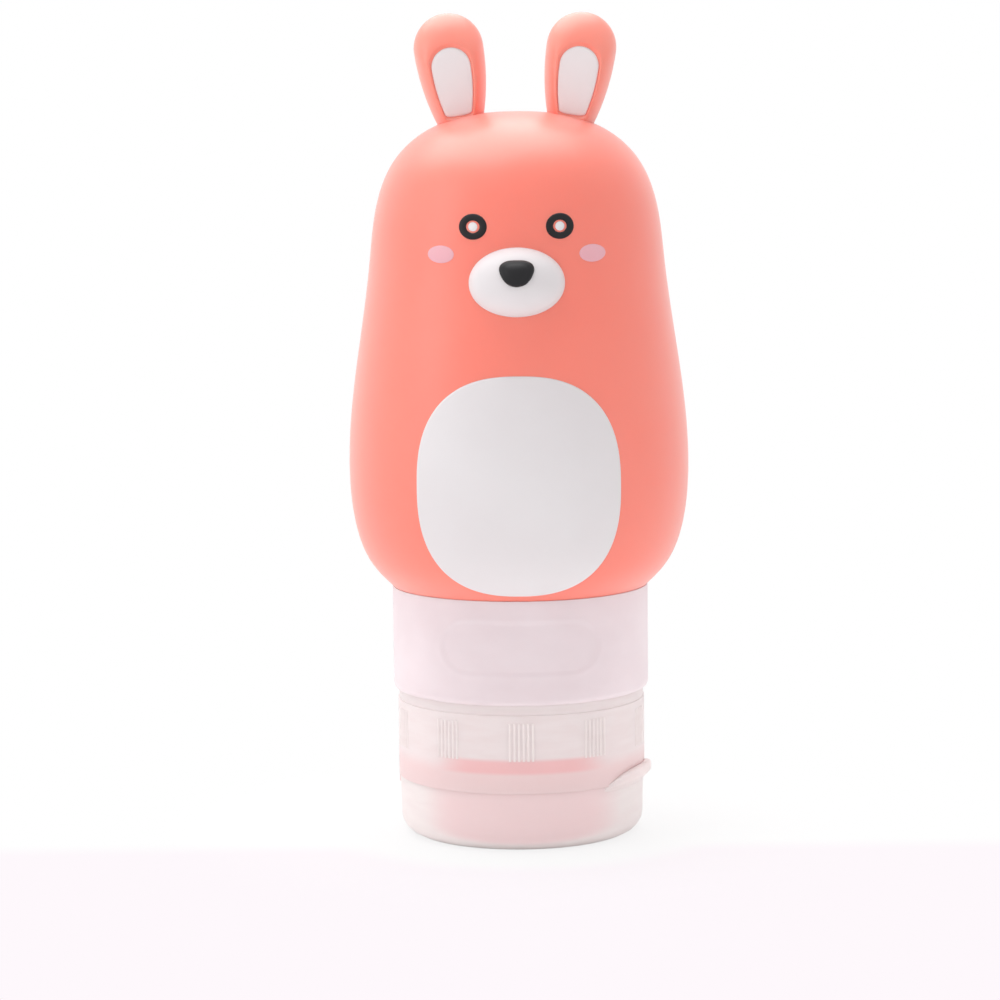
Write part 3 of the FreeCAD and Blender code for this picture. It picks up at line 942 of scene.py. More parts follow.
@dataclass
class Ear:
    """One ear: a lobe with a domed front, and the pale inlay that is let into it."""

    side: Side
    spacing: float = 16.8
    root_height: float = 109.8
    lean: float = 8.8
    length: float = 16.9
    tip_radius: float = 5.34
    foot_half_width: float = 2.3
    foot_round: float = 0.7
    foot_power: float = 0.7
    stem: float = 3.0
    thickness: float = 5.2
    dish_depth: float = 0.3
    lip_share: float = 0.86
    front_round: float = 3.6
    slump_share: float = 0.45
    slump_power: float = 1.5
    back_round: float = 1.6
    back_share: float = 0.6
    crease: float = 60.0
    foot_steps: int = 15
    side_steps: int = 24
    tip_steps: int = 40
    dish_steps: int = 8
    front_steps: int = 22
    back_steps: int = 10
    inlay_tip_radius: float = 3.0
    inlay_tip_height: float = 8.66
    inlay_foot_half_width: float = 1.95
    inlay_foot_height: float = 1.2
    inlay_crease: float = 50.0
    inlay_pad: Pad = Pad(0.22, 0.4, 0.3, 9, 0.1)

    def build(self) -> None:
        """Builds the lobe and its inlay."""
        self.lobe()
        self.inlay()

    @property
    def middle(self) -> float:
        """Gives how far up the ear the inlay's middle is."""
        return (self.inlay_tip_height + self.inlay_foot_height) / 2

    def _rim(self, share: float) -> list[Flat]:
        """Gives the ear's outline, counterclockwise from the front.

        Args:
            share: 0 for the ear's edge, 1 for the inlay's edge, or between.

        Returns:
            Offsets across and along the ear.
        """
        keep = 1 - share
        radius = self.tip_radius * keep + self.inlay_tip_radius * share
        centre = (self.length - self.tip_radius) * keep + self.inlay_tip_height * share
        foot = self.foot_half_width * keep + self.inlay_foot_half_width * share
        low = -self.stem * keep + self.inlay_foot_height * share
        spread, rise = radius - foot, centre - low
        bend = (spread**2 + rise**2) / (2 * spread)
        turns = spaced(math.asin((rise - self.foot_round) / bend), 0.0, self.side_steps)
        side = [(bend * math.cos(a) + radius - bend, centre - bend * math.sin(a)) for a in turns]
        turns = spaced(0.0, math.pi, self.tip_steps)[1:-1]
        tip = [(radius * math.cos(a), centre + radius * math.sin(a)) for a in turns]
        corner, height = side[0]
        base = []
        for a in spaced(-math.pi, 0.0, self.foot_steps)[1:-1]:
            across, up = softened(math.cos(a), self.foot_power), softened(math.sin(a), self.foot_power)
            base.append((corner * across, height + self.foot_round * up))
        return base + side + tip + [(-x, y) for x, y in reversed(side)]

    def _at(self, across: float, along: float, depth: float) -> Point:
        """Gives a point of the ear.

        Args:
            across: how far to the right of the ear's middle line.
            along: how far up the ear.
            depth: how far behind the ear's middle plane.

        Returns:
            The point in the part's frame.
        """
        turn = math.radians(self.lean) * self.side.value
        x = self.side.value * self.spacing / 2 + across * math.cos(turn) + along * math.sin(turn)
        return (x, depth, self.root_height - across * math.sin(turn) + along * math.cos(turn))

    def _depths(self) -> list[Flat]:
        """Gives the ear's rows, from the front to the back.

        Returns:
            Share of the way to the inlay and depth of each row.
        """
        half = self.thickness / 2
        rows = []
        for share in spaced(1.0, self.lip_share, self.dish_steps)[:-1]:
            fall = smooth((share - self.lip_share) / (1 - self.lip_share))
            rows.append((share, -half + self.dish_depth * fall))
        for turn in spaced(0.0, math.pi / 2, self.front_steps):
            out, slump = math.sin(turn), math.sin(turn) ** self.slump_power
            fall = self.slump_share * slump + (1 - self.slump_share) * (1 - math.cos(turn))
            rows.append((self.lip_share * (1 - out), -half + self.front_round * fall))
        for turn in spaced(math.pi / 2, 0.0, self.back_steps):
            depth = half - self.back_round * (1 - math.cos(turn))
            rows.append((self.back_share * (1 - math.sin(turn)), depth))
        return rows + [(1.0, half)]

    def lobe(self) -> None:
        """Builds the lobe, with its domed front."""
        rows = self._depths()
        rings = [[self._at(x, y, depth) for x, y in self._rim(share)] for share, depth in rows]
        front, back = (self._at(0.0, self.middle, depth) for _, depth in (rows[0], rows[-1]))
        name, node = f"ear_lobe_{self.side.word}", f"ear_{self.side.word}"
        draft = Draft().stack(rings, front, back)
        draft.dressed(name, Body.BOTTLE, Finish.LOBE, node, crease=self.crease)

    def inlay(self) -> None:
        """Builds the inlay, which bulges a little."""
        floor = -self.thickness / 2 + self.dish_depth

        def surface(x: float, y: float, lift: float) -> Point:
            """Gives a point above the floor of the inlay's seat."""
            return self._at(x, y, floor - lift)

        outline = [(x, y - self.middle) for x, y in self._rim(1.0)]
        draft = self.inlay_pad.laid(surface, (0.0, self.middle), outline, self.inlay_tip_radius)
        name, node = f"ear_pad_{self.side.word}", f"ear_inlay_{self.side.word}"
        draft.dressed(name, Body.BOTTLE, Finish.INLAY, node, crease=self.inlay_crease)


@dataclass
class Face:
    """Eyes, cheeks, muzzle and nose on the front of the head."""

    skin: Skin
    eye_spacing: float = 12.86
    eye_height: float = 95.0
    eye_radius: float = 2.07
    eye_squash: float = 0.92
    eye_hole_radius: float = 0.99
    eye_proud: float = 0.2
    eye_sunk: float = 0.5
    eye_rows: int = 16
    eye_points: int = 56
    eye_dot_radius: float = 0.68
    eye_dot_points: int = 40
    eye_dot_pad: Pad = Pad(0.08, 0.5, 0.2, 6, 0.08)
    cheek_spacing: float = 22.5
    cheek_height: float = 90.9
    cheek_half_width: float = 1.95
    cheek_half_height: float = 1.3
    cheek_points: int = 56
    cheek_pad: Pad = Pad(0.1, 0.5, 0.25, 8, 0.06)
    muzzle_height: float = 86.65
    muzzle_half_width: float = 7.15
    muzzle_half_height: float = 5.4
    muzzle_bulge: float = 5.2
    muzzle_sink: float = 1.5
    muzzle_back_share: float = 0.22
    muzzle_turns: Flat = (3.0, 102.0)
    muzzle_rows: int = 34
    muzzle_points: int = 96
    nose_height: float = 88.25
    nose_width: float = 5.2
    nose_tall: float = 3.8
    nose_steps: int = 6
    nose_pad: Pad = Pad(0.62, 0.6, 0.6, 9, 0.32)
    nose_shares: tuple[Flat, ...] = (
        (0.0, -0.50), (0.23, -0.42), (0.38, -0.23), (0.47, 0.0), (0.495, 0.20), (0.43, 0.37),
        (0.25, 0.48), (0.0, 0.50), (-0.25, 0.48), (-0.43, 0.37), (-0.495, 0.20), (-0.47, 0.0),
        (-0.38, -0.23), (-0.23, -0.42),
    )

    def build(self) -> None:
        """Builds the face's pieces."""
        for side in Side:
            self.eye(side)
            self.cheek(side)
        self.muzzle()
        self.nose()

    def eye(self, side: Side) -> None:
        """Builds one eye: a rounded black ring and the pale dot in it.

        Args:
            side: which eye.
        """
        x, z = side.value * self.eye_spacing / 2, self.eye_height
        middle = (self.eye_radius + self.eye_hole_radius) / 2
        half = (self.eye_radius - self.eye_hole_radius) / 2
        draft = Draft()
        rings = []
        for turn in around(self.eye_rows):
            radius = middle + half * math.cos(turn)
            lift = math.sin(turn) * (self.eye_proud if turn < math.pi else self.eye_sunk)
            angles = around(self.eye_points)
            spots = ((radius * math.cos(a), radius * math.sin(a)) for a in angles)
            rings.append(draft.ring(self.skin.at(x + u, z + v * self.eye_squash, lift) for u, v in spots))
        draft.sheet(rings, True)
        draft.dressed(f"eye_band_{side.word}", Body.BOTTLE, Finish.BLACK, f"eye_ring_{side.word}")
        outline = oval(self.eye_dot_radius, self.eye_dot_radius, self.eye_dot_points)
        dot = self.eye_dot_pad.laid(self.skin.at, (x, z), outline, self.eye_dot_radius)
        dot.dressed(f"eye_spot_{side.word}", Body.BOTTLE, Finish.INLAY, f"eye_dot_{side.word}")

    def cheek(self, side: Side) -> None:
        """Builds one cheek's oval.

        Args:
            side: which cheek.
        """
        centre = (side.value * self.cheek_spacing / 2, self.cheek_height)
        outline = oval(self.cheek_half_width, self.cheek_half_height, self.cheek_points)
        draft = self.cheek_pad.laid(self.skin.at, centre, outline, self.cheek_half_height)
        draft.dressed(f"cheek_oval_{side.word}", Body.BOTTLE, Finish.PINK, f"cheek_{side.word}")

    def _muzzle_at(self, x: float, out: float, z: float) -> Point:
        """Gives the point so far to the right of, in front of and above the muzzle's middle."""
        middle = self.skin.radius(self.muzzle_height) - self.muzzle_sink
        return (x, -middle - self.muzzle_bulge * out, self.muzzle_height + z)

    def muzzle(self) -> None:
        """Builds the muzzle, an egg-shaped bulge that is sunk in the head."""
        rings = []
        edge = oval(self.muzzle_half_width, self.muzzle_half_height, self.muzzle_points)
        for turn in map(math.radians, spaced(*self.muzzle_turns, self.muzzle_rows)):
            share, out = math.sin(turn), math.cos(turn)
            rings.append([self._muzzle_at(share * x, out, share * z) for x, z in edge])
        front, back = (self._muzzle_at(0.0, out, 0.0) for out in (1.0, -self.muzzle_back_share))
        Draft().stack(rings, front, back).dressed("muzzle_bulge", Body.BOTTLE, Finish.WHITE, "muzzle")

    def on_muzzle(self, x: float, z: float, lift: float) -> Point:
        """Gives a point on the muzzle.

        Args:
            x: how far to the right.
            z: how high.
            lift: how far off the muzzle.

        Returns:
            The point.
        """
        width, height = self.muzzle_half_width, self.muzzle_half_height
        u, v = x / width, (z - self.muzzle_height) / height
        out = math.sqrt(max(1 - u * u - v * v, 0.0))
        slope = Vector((u / width, -out / self.muzzle_bulge, v / height)).normalized()
        return tuple(Vector(self._muzzle_at(x, out, z - self.muzzle_height)) + slope * lift)

    def nose(self) -> None:
        """Builds the nose, a rounded triangle on the muzzle."""
        corners = [(u * self.nose_width, v * self.nose_tall) for u, v in self.nose_shares]
        centre, outline = (0.0, self.nose_height), looped(corners, self.nose_steps)
        draft = self.nose_pad.laid(self.on_muzzle, centre, outline, self.nose_tall / 2)
        draft.dressed("nose_tip", Body.BOTTLE, Finish.BLACK, "nose")


@dataclass
class WindowRing:
    """Frosted collar that turns on the neck, with a shallow stadium-shaped window in its front."""

    bottom: float = 22.7
    top: float = 38.74
    radius: float = 19.8
    bore: float = 17.95
    lip_bore: float = 17.2
    lip_bottom: float = 23.9
    lip_top: float = 24.9
    foot_round: float = 1.5
    top_round: float = 0.05
    bore_round: float = 0.25
    lip_round: float = 0.2
    run: float = 0.3
    segments: int = 288
    pane_height: float = 31.45
    pane_half_width: float = 12.2
    pane_half_height: float = 4.25
    pane_depth: float = 0.12
    pane_edge: float = 0.7
    pane_skin: float = 0.3
    bead: float = 0.05
    bead_width: float = 0.35

    def _shaped(self, radius: float, height: float, bearing: float) -> float:
        """Sinks the window into the outside.

        Args:
            radius: radius before the window.
            height: height above the floor.
            bearing: bearing in radians.

        Returns:
            The radius with the window.
        """
        if radius < self.radius - self.pane_skin or math.cos(bearing) < 0:
            return radius
        straight = self.pane_half_width - self.pane_half_height
        beyond = max(abs(radius * math.sin(bearing)) - straight, 0.0)
        inside = self.pane_half_height - math.hypot(beyond, height - self.pane_height)
        sunk = self.pane_depth * smooth(min(max(inside / self.pane_edge, 0.0), 1.0))
        return radius + self.bead * math.exp(-(inside / self.bead_width) ** 2) - sunk

    def build(self) -> None:
        """Builds the collar."""
        corners = [
            (self.bore, self.bottom, self.bore_round),
            (self.radius, self.bottom, self.foot_round),
            (self.radius, self.top, self.top_round),
            (self.bore, self.top, self.bore_round),
            (self.bore, self.lip_top, self.lip_round),
            (self.lip_bore, self.lip_top, self.lip_round),
            (self.lip_bore, self.lip_bottom, self.lip_round),
            (self.bore, self.lip_bottom, self.lip_round),
        ]
        draft = moulded(corners, self.run, self.segments, shaping=self._shaped)
        draft.dressed("window_collar", Body.SELECTOR, Finish.FROSTED, "window_ring")


class Growth(Graph):
    """A Geometry Nodes tree with named sizes, run once and kept as a plain mesh."""

    def __init__(self, name: str, sizes: Mapping[str, float]) -> None:
        """Starts the tree.

        Args:
            name: name of the tree and of the piece.
            sizes: named inputs; whole numbers become counts.
        """
        super().__init__(bpy.data.node_groups.new(name, "GeometryNodeTree"))
        self.name = name
        self.values: dict[str, float] = {}
        made = self.tree.interface
        made.new_socket("Geometry", in_out="OUTPUT", socket_type="NodeSocketGeometry")
        for size, value in sizes.items():
            kind = "NodeSocketInt" if isinstance(value, int) else "NodeSocketFloat"
            socket = made.new_socket(size, in_out="INPUT", socket_type=kind)
            self.values[socket.identifier] = value

    def size(self, name: str) -> Socket:
        """Gives one of the named inputs."""
        return self.node("NodeGroupInput", {}, {}, name)

    def vector(self, x: Term, y: Term, z: Term) -> Socket:
        """Joins three values into a vector."""
        return self.node("ShaderNodeCombineXYZ", {}, {0: x, 1: y, 2: z})

    def extruded(self, spine: Socket, section: Socket) -> Socket:
        """Carries a section along a curve and closes its ends."""
        return self.node("GeometryNodeCurveToMesh", {}, {0: spine, 1: section, "Fill Caps": True})

    def grow(self, shape: Socket, body: Body, finish: Finish) -> None:
        """Ends the tree, runs it and keeps the result as a piece.

        Args:
            shape: geometry to be kept.
            body: the body that it rides on.
            finish: what it is made of.
        """
        real = self.node("GeometryNodeRealizeInstances", {}, {0: shape})
        dressed = self.node("GeometryNodeSetMaterial", {}, {0: real, "Material": finish.material})
        self.end("NodeGroupOutput", dressed)
        seed = bpy.data.objects.new(self.name + "_seed", bpy.data.meshes.new(self.name + "_seed"))
        bpy.context.scene.collection.objects.link(seed)
        modifier = seed.modifiers.new("grow", "NODES")
        modifier.node_group = self.tree
        for identifier, value in self.values.items():
            modifier[identifier] = value
        view = bpy.context.evaluated_depsgraph_get()
        mesh = bpy.data.meshes.new_from_object(seed.evaluated_get(view))
        mesh.name = self.name
        bpy.data.objects.remove(seed)
        settle(shown(mesh, self.name), body, finish)


@dataclass
class Cap:
    """Clear screw cap: skirt, deck, land for the lid, keeper for the valve, ribs and thread."""

    bottom: float = 9.13
    top: float = 22.6
    brim: float = 22.82
    brim_width: float = 0.6
    step: float = 21.2
    step_depth: float = 0.15
    radius: float = 19.15
    bore: float = 17.35
    deck_top: float = 10.85
    land_bottom: float = 7.75
    land_radius: float = 17.15
    land_bore: float = 15.65
    keeper_radius: float = 9.25
    keeper_bore: float = 8.05
    keeper_top: float = 13.75
    opening: float = 6.2
    shelf_round: float = 0.05
    keeper_round: float = 0.4
    deck_round: float = 0.5
    crisp: float = 0.06
    fine: float = 0.1
    small: float = 0.2
    soft: float = 0.3
    run: float = 2.0
    segments: int = 192
    rib_groups: int = 10
    ribs_in_group: int = 6
    rib_pitch: float = 2.1
    rib_radius: float = 0.22
    rib_sink: float = 0.12
    rib_bottom: float = 14.2
    rib_height: float = 5.8
    rib_sides: int = 10
    thread_crest: float = 16.5
    thread_start: float = 16.5
    thread_pitch: float = 3.0
    thread_turns: float = 1.5
    thread_root_width: float = 1.3
    thread_crest_width: float = 0.7
    thread_bite: float = 0.15
    thread_sides: int = 96

    def build(self) -> None:
        """Builds the cap's shell, its grip ribs and its thread."""
        self.shell()
        self.ribs()
        self.thread()

    def shell(self) -> None:
        """Builds the turned shell."""
        shelf = self.radius - self.step_depth
        corners = [
            (self.land_bore, self.land_bottom, self.soft),
            (self.land_radius, self.land_bottom, self.soft),
            (self.land_radius, self.bottom, self.small),
            (self.radius, self.bottom, self.crisp),
            (self.radius, self.step, self.fine),
            (shelf, self.step, self.shelf_round),
            (shelf, self.brim, self.crisp),
            (shelf - self.brim_width, self.top, self.fine),
            (self.bore, self.top, self.soft),
            (self.bore, self.deck_top, self.deck_round),
            (self.keeper_radius, self.deck_top, self.keeper_round),
            (self.keeper_radius, self.keeper_top, self.soft),
            (self.keeper_bore, self.keeper_top, self.soft),
            (self.keeper_bore, self.deck_top, self.fine),
            (self.opening, self.deck_top, self.small),
            (self.opening, self.bottom, self.soft),
            (self.land_bore, self.bottom, self.soft),
        ]
        draft = moulded(corners, self.run, self.segments)
        draft.dressed("screw_cap", Body.CAP, Finish.CLEAR, "cap_base")

    def ribs(self) -> None:
        """Grows the groups of grip ribs round the skirt."""
        tree = Growth("grip_ribs", {
            "Skirt radius": (self.radius - self.rib_sink) * MM,
            "Foot": self.rib_bottom * MM,
            "Rib height": self.rib_height * MM,
            "Rib radius": self.rib_radius * MM,
            "Groups": self.rib_groups,
            "Ribs in group": self.ribs_in_group,
            "Rib pitch": math.radians(self.rib_pitch),
        })
        groups, per_group, skirt = map(tree.size, ("Groups", "Ribs in group", "Skirt radius"))
        line = tree.node("GeometryNodeMeshLine", {}, {"Count": groups * per_group})
        number = tree.node("GeometryNodeInputIndex", {}, {})
        group = tree.maths("FLOOR", number / per_group)
        place = number % per_group - (per_group - 1) / 2
        bearing = group * math.tau / groups + place * tree.size("Rib pitch")
        across = skirt * tree.maths("SINE", bearing)
        depth = skirt * tree.maths("COSINE", bearing) * -1
        feet = {0: line, "Position": tree.vector(across, depth, tree.size("Foot"))}
        spots = tree.node("GeometryNodeSetPosition", {}, feet)
        ends = {"Start": (0, 0, 0), "End": tree.vector(0, 0, tree.size("Rib height"))}
        spine = tree.node("GeometryNodeCurvePrimitiveLine", {}, ends)
        circle = {"Resolution": self.rib_sides, "Radius": tree.size("Rib radius")}
        rod = tree.extruded(spine, tree.node("GeometryNodeCurvePrimitiveCircle", {}, circle))
        ribs = tree.node("GeometryNodeInstanceOnPoints", {}, {"Points": spots, "Instance": rod})
        tree.grow(ribs, Body.CAP, Finish.RIB)

    def thread(self) -> None:
        """Grows the thread inside the skirt."""
        tree = Growth("cap_thread", {
            "Bore": self.bore * MM,
            "Start": self.thread_start * MM,
            "Turns": self.thread_turns,
            "Rise": self.thread_pitch * self.thread_turns * MM,
            "Depth": (self.bore - self.thread_crest) * MM,
            "Root width": self.thread_root_width * MM,
            "Crest width": self.thread_crest_width * MM,
            "Bite": self.thread_bite * MM,
        })
        bore, root, crest, bite = map(tree.size, ("Bore", "Root width", "Crest width", "Bite"))
        inward = tree.size("Depth") * -1
        spiral = tree.node("GeometryNodeCurveSpiral", {}, {
            "Resolution": self.thread_sides, "Rotations": tree.size("Turns"),
            "Start Radius": bore, "End Radius": bore, "Height": tree.size("Rise"),
        })
        lift = {0: spiral, "Translation": tree.vector(0, 0, tree.size("Start"))}
        raised = tree.node("GeometryNodeTransform", {}, lift)
        upright = tree.node("GeometryNodeSetCurveNormal", {"mode": "Z_UP"}, {0: raised})
        section = tree.node("GeometryNodeCurvePrimitiveQuadrilateral", {"mode": "POINTS"}, {
            "Point 1": tree.vector(root / -2, bite, 0),
            "Point 2": tree.vector(root / 2, bite, 0),
            "Point 3": tree.vector(crest / 2, inward, 0),
            "Point 4": tree.vector(crest / -2, inward, 0),
        })
        tree.grow(tree.extruded(upright, section), Body.CAP, Finish.RIB)


@dataclass
class ThumbTab:
    """Crescent that flares from the lid's rim and stands before the cap's skirt."""

    rim_radius: float
    rim_height: float
    bearing: float = 72.0
    half_angle: float = 30.0
    sections: int = 61
    reach: float = 1.5
    proud: float = 0.04
    overlap: float = 0.02
    foot: float = 8.3
    foot_round: float = 0.3
    brow: float = 9.9
    brow_fall_share: float = 0.6
    brow_round: float = 0.6
    face: float = 0.3
    top: float = 11.2
    inside: float = 19.1
    wall: float = 0.2
    edge_round: float = 0.7
    edge_share: float = 0.45
    inner_share: float = 0.6
    root_depth: float = 0.6
    root_drop: float = 0.3
    root_round: float = 0.05
    seat: float = 0.08
    seat_round: float = 0.1

    def _edge(self, turn: float) -> float:
        """Gives the outer radius at an angle from the tab's middle.

        Args:
            turn: the angle in radians.

        Returns:
            Radius of an arc that meets the rim at the tab's ends.
        """
        reach = self.rim_radius + self.reach
        ends = self.rim_radius * math.cos(math.radians(self.half_angle))
        offset = (reach**2 - self.rim_radius**2) / (2 * (reach - ends))
        return offset * math.cos(turn) + math.sqrt((reach - offset)**2 - (offset * math.sin(turn))**2)

    def _section(self, turn: float) -> list[Flat]:
        """Gives the outline at an angle from the tab's middle.

        Args:
            turn: the angle in radians.

        Returns:
            Radius and height of each point, upwards on the outside.
        """
        share = abs(turn) / math.radians(self.half_angle)
        edge = self._edge(turn) + self.proud
        root = self.rim_radius - self.root_depth
        top = self.rim_height + (self.top - self.rim_height) * (1 - share**3) + self.overlap
        brow = self.foot + (self.brow - self.foot) * (1 - self.brow_fall_share * share**2)
        inside = min(self.inside, edge - self.wall)
        easing = min(self.edge_round, self.edge_share * (edge - inside))
        corners = [
            (root, self.foot - self.root_drop, self.root_round),
            (self.rim_radius - self.overlap, self.foot, self.foot_round),
            (edge, min(brow, top - self.face), self.brow_round),
            (edge, top, easing),
            (inside, top, easing * self.inner_share),
            (inside, self.rim_height - self.seat, self.seat_round),
            (root, self.rim_height - 2 * self.seat, self.root_round),
        ]
        return eased(corners, True)

    def build(self) -> None:
        """Builds the tab."""
        middle, half = math.radians(self.bearing), math.radians(self.half_angle)
        turns = spaced(-half, half, self.sections)
        draft = swept([self._section(t) for t in turns], [middle + t for t in turns])
        draft.dressed("thumb_tongue", Body.LID, Finish.TAB)


@dataclass
class FoldStrap:
    """Thin strap between the cap and the lid, pinched where the real one bends."""

    bearing: float = 252.0
    half_angle: float = 7.0
    sections: int = 31
    inside: float = 19.2
    outside: float = 19.6
    bottom: float = 6.8
    top: float = 11.45
    rows: int = 41
    root: float = 0.38
    root_drop: float = 1.1
    root_fade: float = 0.4
    fold: float = 9.125
    fold_reach: float = 1.2
    fold_width: float = 0.45
    fold_share: float = 0.55

    def _outline(self, middle: float) -> list[Flat]:
        """Gives the strap's section, thin at its fold and thick where it grows out of the lid.

        Args:
            middle: radius of the strap's middle.

        Returns:
            Radius and height of each point, upwards on the outside.
        """
        front, back = [], []
        for height in spaced(self.bottom, self.top, self.rows):
            pinch = self.fold_share * math.exp(-((height - self.fold) / self.fold_width) ** 2)
            half = (self.outside - middle) * (1 - pinch)
            foot = min(max((self.fold - self.root_drop - height) / self.root_fade, 0.0), 1.0)
            front.append((middle + half, height))
            back.append((middle - half - self.root * foot, height))
        return front + back[::-1]

    def build(self) -> None:
        """Builds the strap and bakes its place into its mesh; it hangs on neither body."""
        middle = (self.inside + self.outside) / 2
        centre, spread = math.radians(self.bearing), math.radians(self.half_angle)
        bearings = spaced(centre - spread, centre + spread, self.sections)
        piece = swept([self._outline(middle)] * self.sections, bearings).piece("fold_strap")
        coat(piece, Finish.CLEAR)
        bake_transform(piece)
        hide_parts("living_hinge")
        LOG.info("fold_strap bends between cap and lid")


@dataclass
class Lid:
    """Flip lid that the bottle stands on, with its plug, its thumb tab and the strap to the cap."""

    height: float = 9.0
    rim: float = 9.11
    rim_round: float = 0.06
    inner_rim_round: float = 0.25
    radius: float = 18.95
    foot_radius: float = 18.75
    bore: float = 17.45
    floor: float = 1.4
    corner_round: float = 3.0
    inner_round: float = 2.0
    run: float = 2.0
    segments: int = 240
    plug_radius: float = 5.0
    plug_bore: float = 3.8
    plug_top: float = 8.15
    plug_round: float = 0.45
    plug_bore_round: float = 0.3
    plug_root_round: float = 0.4
    gate_radius: float = 1.1
    gate_rim: float = 1.35
    gate_depth: float = 0.25
    gate_round: float = 0.1

    def build(self) -> None:
        """Builds the lid, its tab and its strap."""
        self.shell()
        ThumbTab(self.radius, self.height).build()
        FoldStrap().build()

    def shell(self) -> None:
        """Builds the turned shell with its plug."""
        corners = [
            (0.0, self.gate_depth, 0.0),
            (self.gate_radius, self.gate_depth, self.gate_round),
            (self.gate_rim, 0.0, self.gate_round),
            (self.foot_radius, 0.0, self.corner_round),
            (self.radius, self.rim, self.rim_round),
            (self.bore, self.rim, self.inner_rim_round),
            (self.bore, self.floor, self.inner_round),
            (self.plug_radius, self.floor, self.plug_root_round),
            (self.plug_radius, self.plug_top, self.plug_round),
            (self.plug_bore, self.plug_top, self.plug_bore_round),
            (self.plug_bore, self.floor, self.plug_root_round),
            (0.0, self.floor, 0.0),
        ]
        draft = moulded(corners, self.run, self.segments, False)
        draft.dressed("flip_lid", Body.LID, Finish.FOOT, "lid")


@dataclass
class Valve:
    """Soft slit valve in the cap's deck, and the washer that seals the neck."""

    bottom: float = 8.45
    radius: float = 5.9
    wall: float = 0.7
    foot_round: float = 0.7
    floor_round: float = 0.6
    heel_round: float = 0.15
    flange_radius: float = 8.0
    flange_bottom: float = 10.9
    flange_top: float = 12.1
    flange_round: float = 0.25
    run: float = 1.0
    segments: int = 96
    tip_radius: float = 0.2
    slit_radius: float = 2.5
    slit_gap: float = 0.06
    flap_count: int = 4
    flap_rows: int = 9
    flap_points: int = 13
    seal_bore: float = 13.15
    seal_radius: float = 16.05
    seal_bottom: float = 10.9
    seal_top: float = 11.9
    seal_round: float = 0.3
    seal_segments: int = 128

    def build(self) -> None:
        """Builds the valve, its flaps and the washer."""
        self.cup()
        self.flaps()
        self.washer()

    def cup(self) -> None:
        """Builds the valve's cup, open in the middle where the flaps are."""
        bore = self.radius - self.wall
        floor = self.bottom + self.wall
        corners = [
            (self.slit_radius, self.bottom, 0.0),
            (self.radius, self.bottom, self.foot_round),
            (self.radius, self.flange_bottom, self.heel_round),
            (self.flange_radius, self.flange_bottom, self.flange_round),
            (self.flange_radius, self.flange_top, self.flange_round),
            (bore, self.flange_top, self.flange_round),
            (bore, floor, self.floor_round),
            (self.slit_radius, floor, 0.0),
        ]
        draft = moulded(corners, self.run, self.segments)
        draft.dressed("valve_cup", Body.CAP, Finish.VALVE, "drip_valve")

    def flaps(self) -> None:
        """Builds the flaps between the crossed slits."""
        draft = Draft()
        for start in around(self.flap_count):
            end = start + math.tau / self.flap_count
            low, high = [], []
            for rows, height in ((low, self.bottom), (high, self.bottom + self.wall)):
                for radius in spaced(self.tip_radius, self.slit_radius, self.flap_rows):
                    edge = math.asin(self.slit_gap / radius)
                    bearings = spaced(start + edge, end - edge, self.flap_points)
                    rows.append(draft.ring(turned(radius, b, height) for b in bearings))
            draft.sheet(low, wraps=False)
            draft.sheet(high[::-1], wraps=False)
            draft.bridge(low[-1], high[-1], False)
            draft.bridge(high[0], low[0], False)
            for a, b, c, d in zip(low, low[1:], high, high[1:]):
                draft.faces += [(a[0], b[0], d[0], c[0]), (c[-1], d[-1], b[-1], a[-1])]
        draft.dressed("valve_flaps", Body.CAP, Finish.VALVE)

    def washer(self) -> None:
        """Builds the washer."""
        corners = [
            (self.seal_bore, self.seal_bottom, self.seal_round),
            (self.seal_radius, self.seal_bottom, self.seal_round),
            (self.seal_radius, self.seal_top, self.seal_round),
            (self.seal_bore, self.seal_top, self.seal_round),
        ]
        draft = lathe(eased(corners, True), True, self.seal_segments)
        draft.dressed("washer", Body.SEAL, Finish.VALVE, "seal_ring")


@dataclass(frozen=True)
class Lamp:
    """One soft lamp with a rectangular face."""

    name: str
    place: Point
    size: Flat
    power: float
    target: Point = (0.0, 0.0, 62.0)
    spread: float = 180.0

    def build(self) -> None:
        """Hangs the lamp."""
        light = bpy.data.lights.new(self.name, "AREA")
        light.shape = "RECTANGLE"
        light.size, light.size_y = (side * MM for side in self.size)
        light.energy = self.power
        light.spread = math.radians(self.spread)
        made = bpy.data.objects.new(self.name, light)
        made.location = Vector(self.place) * MM
        aim = Vector(self.target) - Vector(self.place)
        made.rotation_euler = aim.to_track_quat("-Z", "Y").to_euler()
        bpy.context.scene.collection.objects.link(made)


